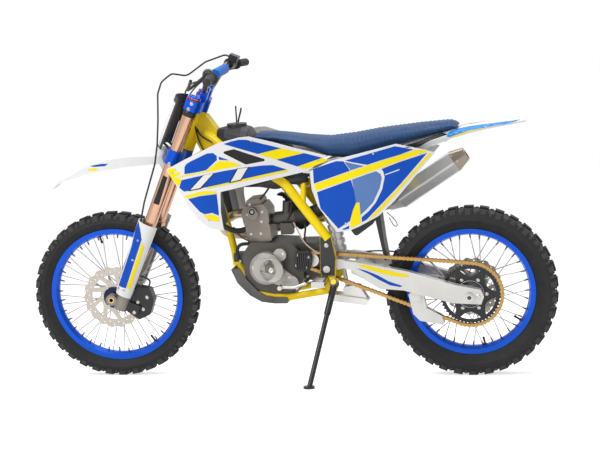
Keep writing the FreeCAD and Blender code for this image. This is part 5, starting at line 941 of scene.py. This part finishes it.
# Spoke nipples, just under the rim's well
NIPPLE_INWARD, NIPPLE_SIDE = 30.3, 0.12
NIPPLE = (0.0036, -0.001), (0.0036, 0.004), (0.003, 0.005), (0.003, 0.013), (0.0024, 0.014)
for wheel, size in WHEELS.items():
    store = [], []
    for i, angle in enumerate(turns(SPOKES)):
        side = 1 if i % 2 else -1
        lead = SPOKE_LEAD if i // 2 % 2 else -SPOKE_LEAD
        near = wheel_place(wheel, size["flange"], angle + lead, side * size["flange_y"])
        far = wheel_place(wheel, size["rim"] - NIPPLE_INWARD, angle,
                          side * size["rim_width"] * NIPPLE_SIDE)
        add_lathe(store, frame_at(far, near - far), NIPPLE, 8)
    add_mesh(wheel + "_nipples", *store, "bar_aluminium", wheel + "_wheel")

# Shoulder knobs: each lug runs on down the side of the tyre, with a small knob in every gap
TREAD = 4.9
SHOULDER_FROM, SHOULDER_DRAW = 0.42, 0.08
LUG_DEPTHS = (25, 30)
KNOB_FACES = ((0, 1, 3, 2), (4, 6, 7, 5), (0, 4, 5, 1), (2, 3, 7, 6), (0, 2, 6, 4), (1, 5, 7, 3))


def knobs(wheel, size):
    radius, half, step = size["radius"], size["width"] / 2, 360 / size["rows"]
    low = size["rim"] + SHOULDER_FROM * (radius - size["rim"])
    top = radius - TREAD
    points, faces = [], []

    def skin(r):
        """The side wall's distance from the wheel's middle plane."""
        return half * (1 - SHOULDER_DRAW * max(0.0, (r - low) / (top - low)))

    def block(middle, half_angle, r0, r1, proud, deep):
        start = len(points)
        for lift, share, ends in ((-deep, 1.0, (r0, r1)), (proud, 0.8, (r0 + 2.5, r1 - 0.6))):
            for r in ends:
                for sign in (-1, 1):
                    angle = math.radians(middle + sign * half_angle * share) + size["turn"]
                    points.append(wheel_place(wheel, r, angle, side * (skin(r) + lift)))
        faces.extend(tuple(start + k for k in f) for f in KNOB_FACES)

    for i in range(size["rows"]):
        middle = i * step - 90
        for side, _ in SIDES:
            block(middle, step * 0.23, radius - LUG_DEPTHS[i % 2], top, proud=2.6, deep=3.0)
            block(middle + step / 2, step * 0.11, radius - 27, radius - 11, proud=2.0, deep=6.0)
    # The knobs take the lighter rubber, a painted highlight on their tops.
    add_mesh(wheel + "_knobs", points, faces, "highlit_knob_rubber", wheel + "_wheel", smooth=False)


for wheel, size in WHEELS.items():
    knobs(wheel, size)

# Valves and rim locks
VALVE = ((0.0075, -0.001), (0.0075, 0.003), (0.0042, 0.004), (0.004, 0.02), (0.0048, 0.021),
         (0.0048, 0.029), (0.004, 0.03))
for name, wheel, angle, r in (
    ("front_valve", "front", -56, 252), ("front_lock", "front", 103, 252),
    ("rear_valve", "rear", -33, 227), ("rear_lock", "rear", -78, 227),
):
    foot = wheel_place(wheel, r, math.radians(angle) + WHEELS[wheel]["turn"], 0)
    middle = wheel_place(wheel, 0, 0, 0)
    turned_piece(name, foot, middle - foot, VALVE, "black_rubber", wheel + "_wheel", 16)

# Black side plates under the seat, and the coil box behind the cylinder
SEAT_BASE = [(1212, 936), (1385, 984), (1404, 980), (1339, 960), (1298, 938), (1262, 930)]
COIL_BOX = [(700, 752), (728, 760), (790, 700), (838, 660), (832, 622), (792, 604), (772, 640),
            (735, 742)]
for side, word in SIDES:
    moulded(f"seat_base_{word}", SEAT_BASE, side * 102, side * 97, 0.0015)
moulded("coil_box", COIL_BOX, -30, 22, 0.006)

for body, (points, faces) in hardware.items():
    add_mesh("bolts_" + body, points, faces, "bare_steel", body, smooth=False)

# Soft pieces: swollen by a short cloth simulation, within a few millimetres
SHRINK = 0.002
CLOTH_FRAMES = 20


def cushion(name, node, most, voxel, body, mat):
    obj = new_object(name, nodes[node].data.copy())
    mesh = obj.data
    bm = bmesh.new()
    bm.from_mesh(mesh)
    bmesh.ops.remove_doubles(bm, verts=bm.verts, dist=1e-5)
    bmesh.ops.recalc_face_normals(bm, faces=bm.faces)
    bm.to_mesh(mesh)
    bm.free()
    bpy.context.view_layer.objects.active = obj
    remesh = obj.modifiers.new("remesh", "REMESH")
    remesh.mode = "VOXEL"
    remesh.voxel_size = voxel
    bpy.ops.object.modifier_apply(modifier="remesh")
    for v, n in [(v, v.normal.copy()) for v in mesh.vertices]:
        v.co -= n * SHRINK
    start = [v.co.copy() for v in mesh.vertices]
    cloth = obj.modifiers.new("cloth", "CLOTH")
    cloth.settings.use_pressure = True
    cloth.settings.uniform_pressure_force = 4
    cloth.settings.effector_weights.gravity = 0
    cloth.settings.quality = 5
    scene = bpy.context.scene
    for number in range(1, CLOTH_FRAMES + 1):
        scene.frame_set(number)
    graph = bpy.context.evaluated_depsgraph_get()
    swollen = [v.co.copy() for v in obj.evaluated_get(graph).data.vertices]
    obj.modifiers.remove(cloth)
    for v, a, b in zip(mesh.vertices, start, swollen):
        move = b - a
        if move.length > most:
            move *= most / move.length
        v.co = a + move
    scene.frame_set(1)
    smooth = obj.modifiers.new("smooth", "SUBSURF")
    smooth.levels = 1
    bpy.ops.object.modifier_apply(modifier="smooth")
    mesh.materials.clear()
    mesh.materials.append(paint[mat])
    for f in mesh.polygons:
        f.use_smooth = True
    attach(obj, body)
    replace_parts(obj, node)
    return obj


def ramp(value, start, end):
    """0 to 1 between two values."""
    return min(1.0, max(0.0, (value - start) / (end - start)))


seat = cushion("seat_cushion", "seat", 0.007, 0.006, "frame", "seat_cover")
# Raised gripper ribs across the rear half of the seat's top, and a crown at its front
RIB_PITCH, RIB_HEIGHT = 17.0, 0.0009
RIBS_START, RIBS_END = (905, 945), (1440, 1410)
CROWN_X, CROWN_REACH, CROWN_HEIGHT = 730, 90, 0.006
for v, n in [(v, v.normal.copy()) for v in seat.data.vertices]:
    x = unplace(v.co).x
    rib = ramp(x, *RIBS_START) * ramp(x, *RIBS_END) * math.sin(2 * math.pi * x / RIB_PITCH)
    crown = math.exp(-((x - CROWN_X) / CROWN_REACH) ** 2)
    if n.dot(UPWARDS) > 0.2:
        v.co += n * (RIB_HEIGHT * rib + CROWN_HEIGHT * crown)
seat.data.update()
cushion("bar_pad_cover", "bar_pad", 0.004, 0.004, "fork", "pad_cover")

# Ribbed grips
GRIP_FLANGE = [(0.0135, 0.0), (0.0235, 0.0006), (0.0245, 0.003), (0.0235, 0.0056),
               (0.0155, 0.0065)]
GRIP_STEPS = 92
GRIP_END = 6


def grip(side, word):
    points = [v.co for v in nodes["grips"].data.vertices if unplace(v.co).y * side > 0]
    reach = [unplace(p).y * side for p in points]
    root, tip = (mean([p for p, y in zip(points, reach) if abs(y - end) < GRIP_END])
                 for end in (min(reach), max(reach)))
    length = (tip - root).length
    ribs = [(0.0159 if i % 4 in (1, 2) else 0.0152,
             0.0075 + (length - 0.012) * i / (GRIP_STEPS - 1)) for i in range(GRIP_STEPS)]
    rings = GRIP_FLANGE + ribs + [(0.0145, length - 0.003), (0.012, length - 0.001)]
    return turned_piece(f"grip_{word}", root, tip - root, rings, "black_rubber", "fork", 40)


grips = [grip(side, word) for side, word in SIDES]
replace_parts(grips[0], "grips")

# Stage: a white floor and sky, brighter where they are seen than where they light the machine
FLOOR_GLOW = 0.6
SKY_LIGHT, SKY_SEEN = 0.44, 1.0


def seen_directly(tree):
    """1 for rays of the camera and of reflections, 0 for the others."""
    path = node_of(tree, "ShaderNodeLightPath")
    return node_of(tree, "ShaderNodeMath",
                   links={0: path.outputs["Is Camera Ray"], 1: path.outputs["Is Glossy Ray"]},
                   operation="MAXIMUM").outputs[0]


finish("floor_white", (0.8, 0.8, 0.8), rough=0.8, grain=40, bump=0.01, wear=0.01)
tree = paint["floor_white"].node_tree
dim = node_of(tree, "ShaderNodeMath", {1: FLOOR_GLOW}, {0: seen_directly(tree)},
              operation="MULTIPLY")
glow = node_of(tree, "ShaderNodeEmission", links={"Strength": dim.outputs[0]})
both = node_of(tree, "ShaderNodeAddShader",
               links={0: tree.nodes["Principled BSDF"].outputs[0], 1: glow.outputs[0]})
tree.links.new(both.outputs[0], tree.nodes["Material Output"].inputs["Surface"])
floor_mesh = bpy.data.meshes.new("floor")
floor_mesh.from_pydata([(-14, -10, 0), (14, -10, 0), (14, 20, 0), (-14, 20, 0)], [],
                       [(0, 1, 2, 3)])
floor_mesh.materials.append(paint["floor_white"])
floor = new_object("floor", floor_mesh)

world = bpy.data.worlds.new("studio")
world.use_nodes = True
sky = world.node_tree
level = node_of(sky, "ShaderNodeMapRange", {"To Min": SKY_LIGHT, "To Max": SKY_SEEN},
                {"Value": seen_directly(sky)})
background = sky.nodes["Background"]
background.inputs["Color"].default_value = (1, 1, 1, 1)
sky.links.new(level.outputs["Result"], background.inputs["Strength"])
bpy.context.scene.world = world

LIT = Vector((0, 0, 0.6))
for name, spot, size, power in (
    ("key", (-2.0, -3.6, 3.6), 2.2, 135), ("top", (0.5, 0.3, 4.6), 3.0, 100),
):
    lamp = bpy.data.lights.new(name, "AREA")
    lamp.size = size
    lamp.energy = power
    obj = new_object(name, lamp)
    obj.location = spot
    obj.rotation_euler = (LIT - Vector(spot)).to_track_quat("-Z", "Y").to_euler()

# Camera, fitted to the photo
YAW, PITCH, ROLL = 0.192, 0.0537, -0.0316
CAMERA = Vector((1.13788, -5.42343, 0.87905))
level_x, level_y = polar(math.cos(PITCH), YAW)
ahead = Vector((-level_y, level_x, -math.sin(PITCH)))
right = Vector((*polar(1, YAW), 0))
up = right.cross(ahead)
cos_roll, sin_roll = polar(1, ROLL)
columns = right * cos_roll + up * sin_roll, up * cos_roll - right * sin_roll, -ahead
lens = bpy.data.cameras.new("camera")
lens.sensor_width = 36
lens.lens = 83.446
lens.shift_x = -0.00398
lens.shift_y = 0.01643
camera = new_object("camera", lens)
camera.matrix_world = Matrix.Translation(CAMERA) @ Matrix(columns).transposed().to_4x4()
bpy.context.scene.camera = camera
bpy.context.scene.view_settings.view_transform = "Standard"
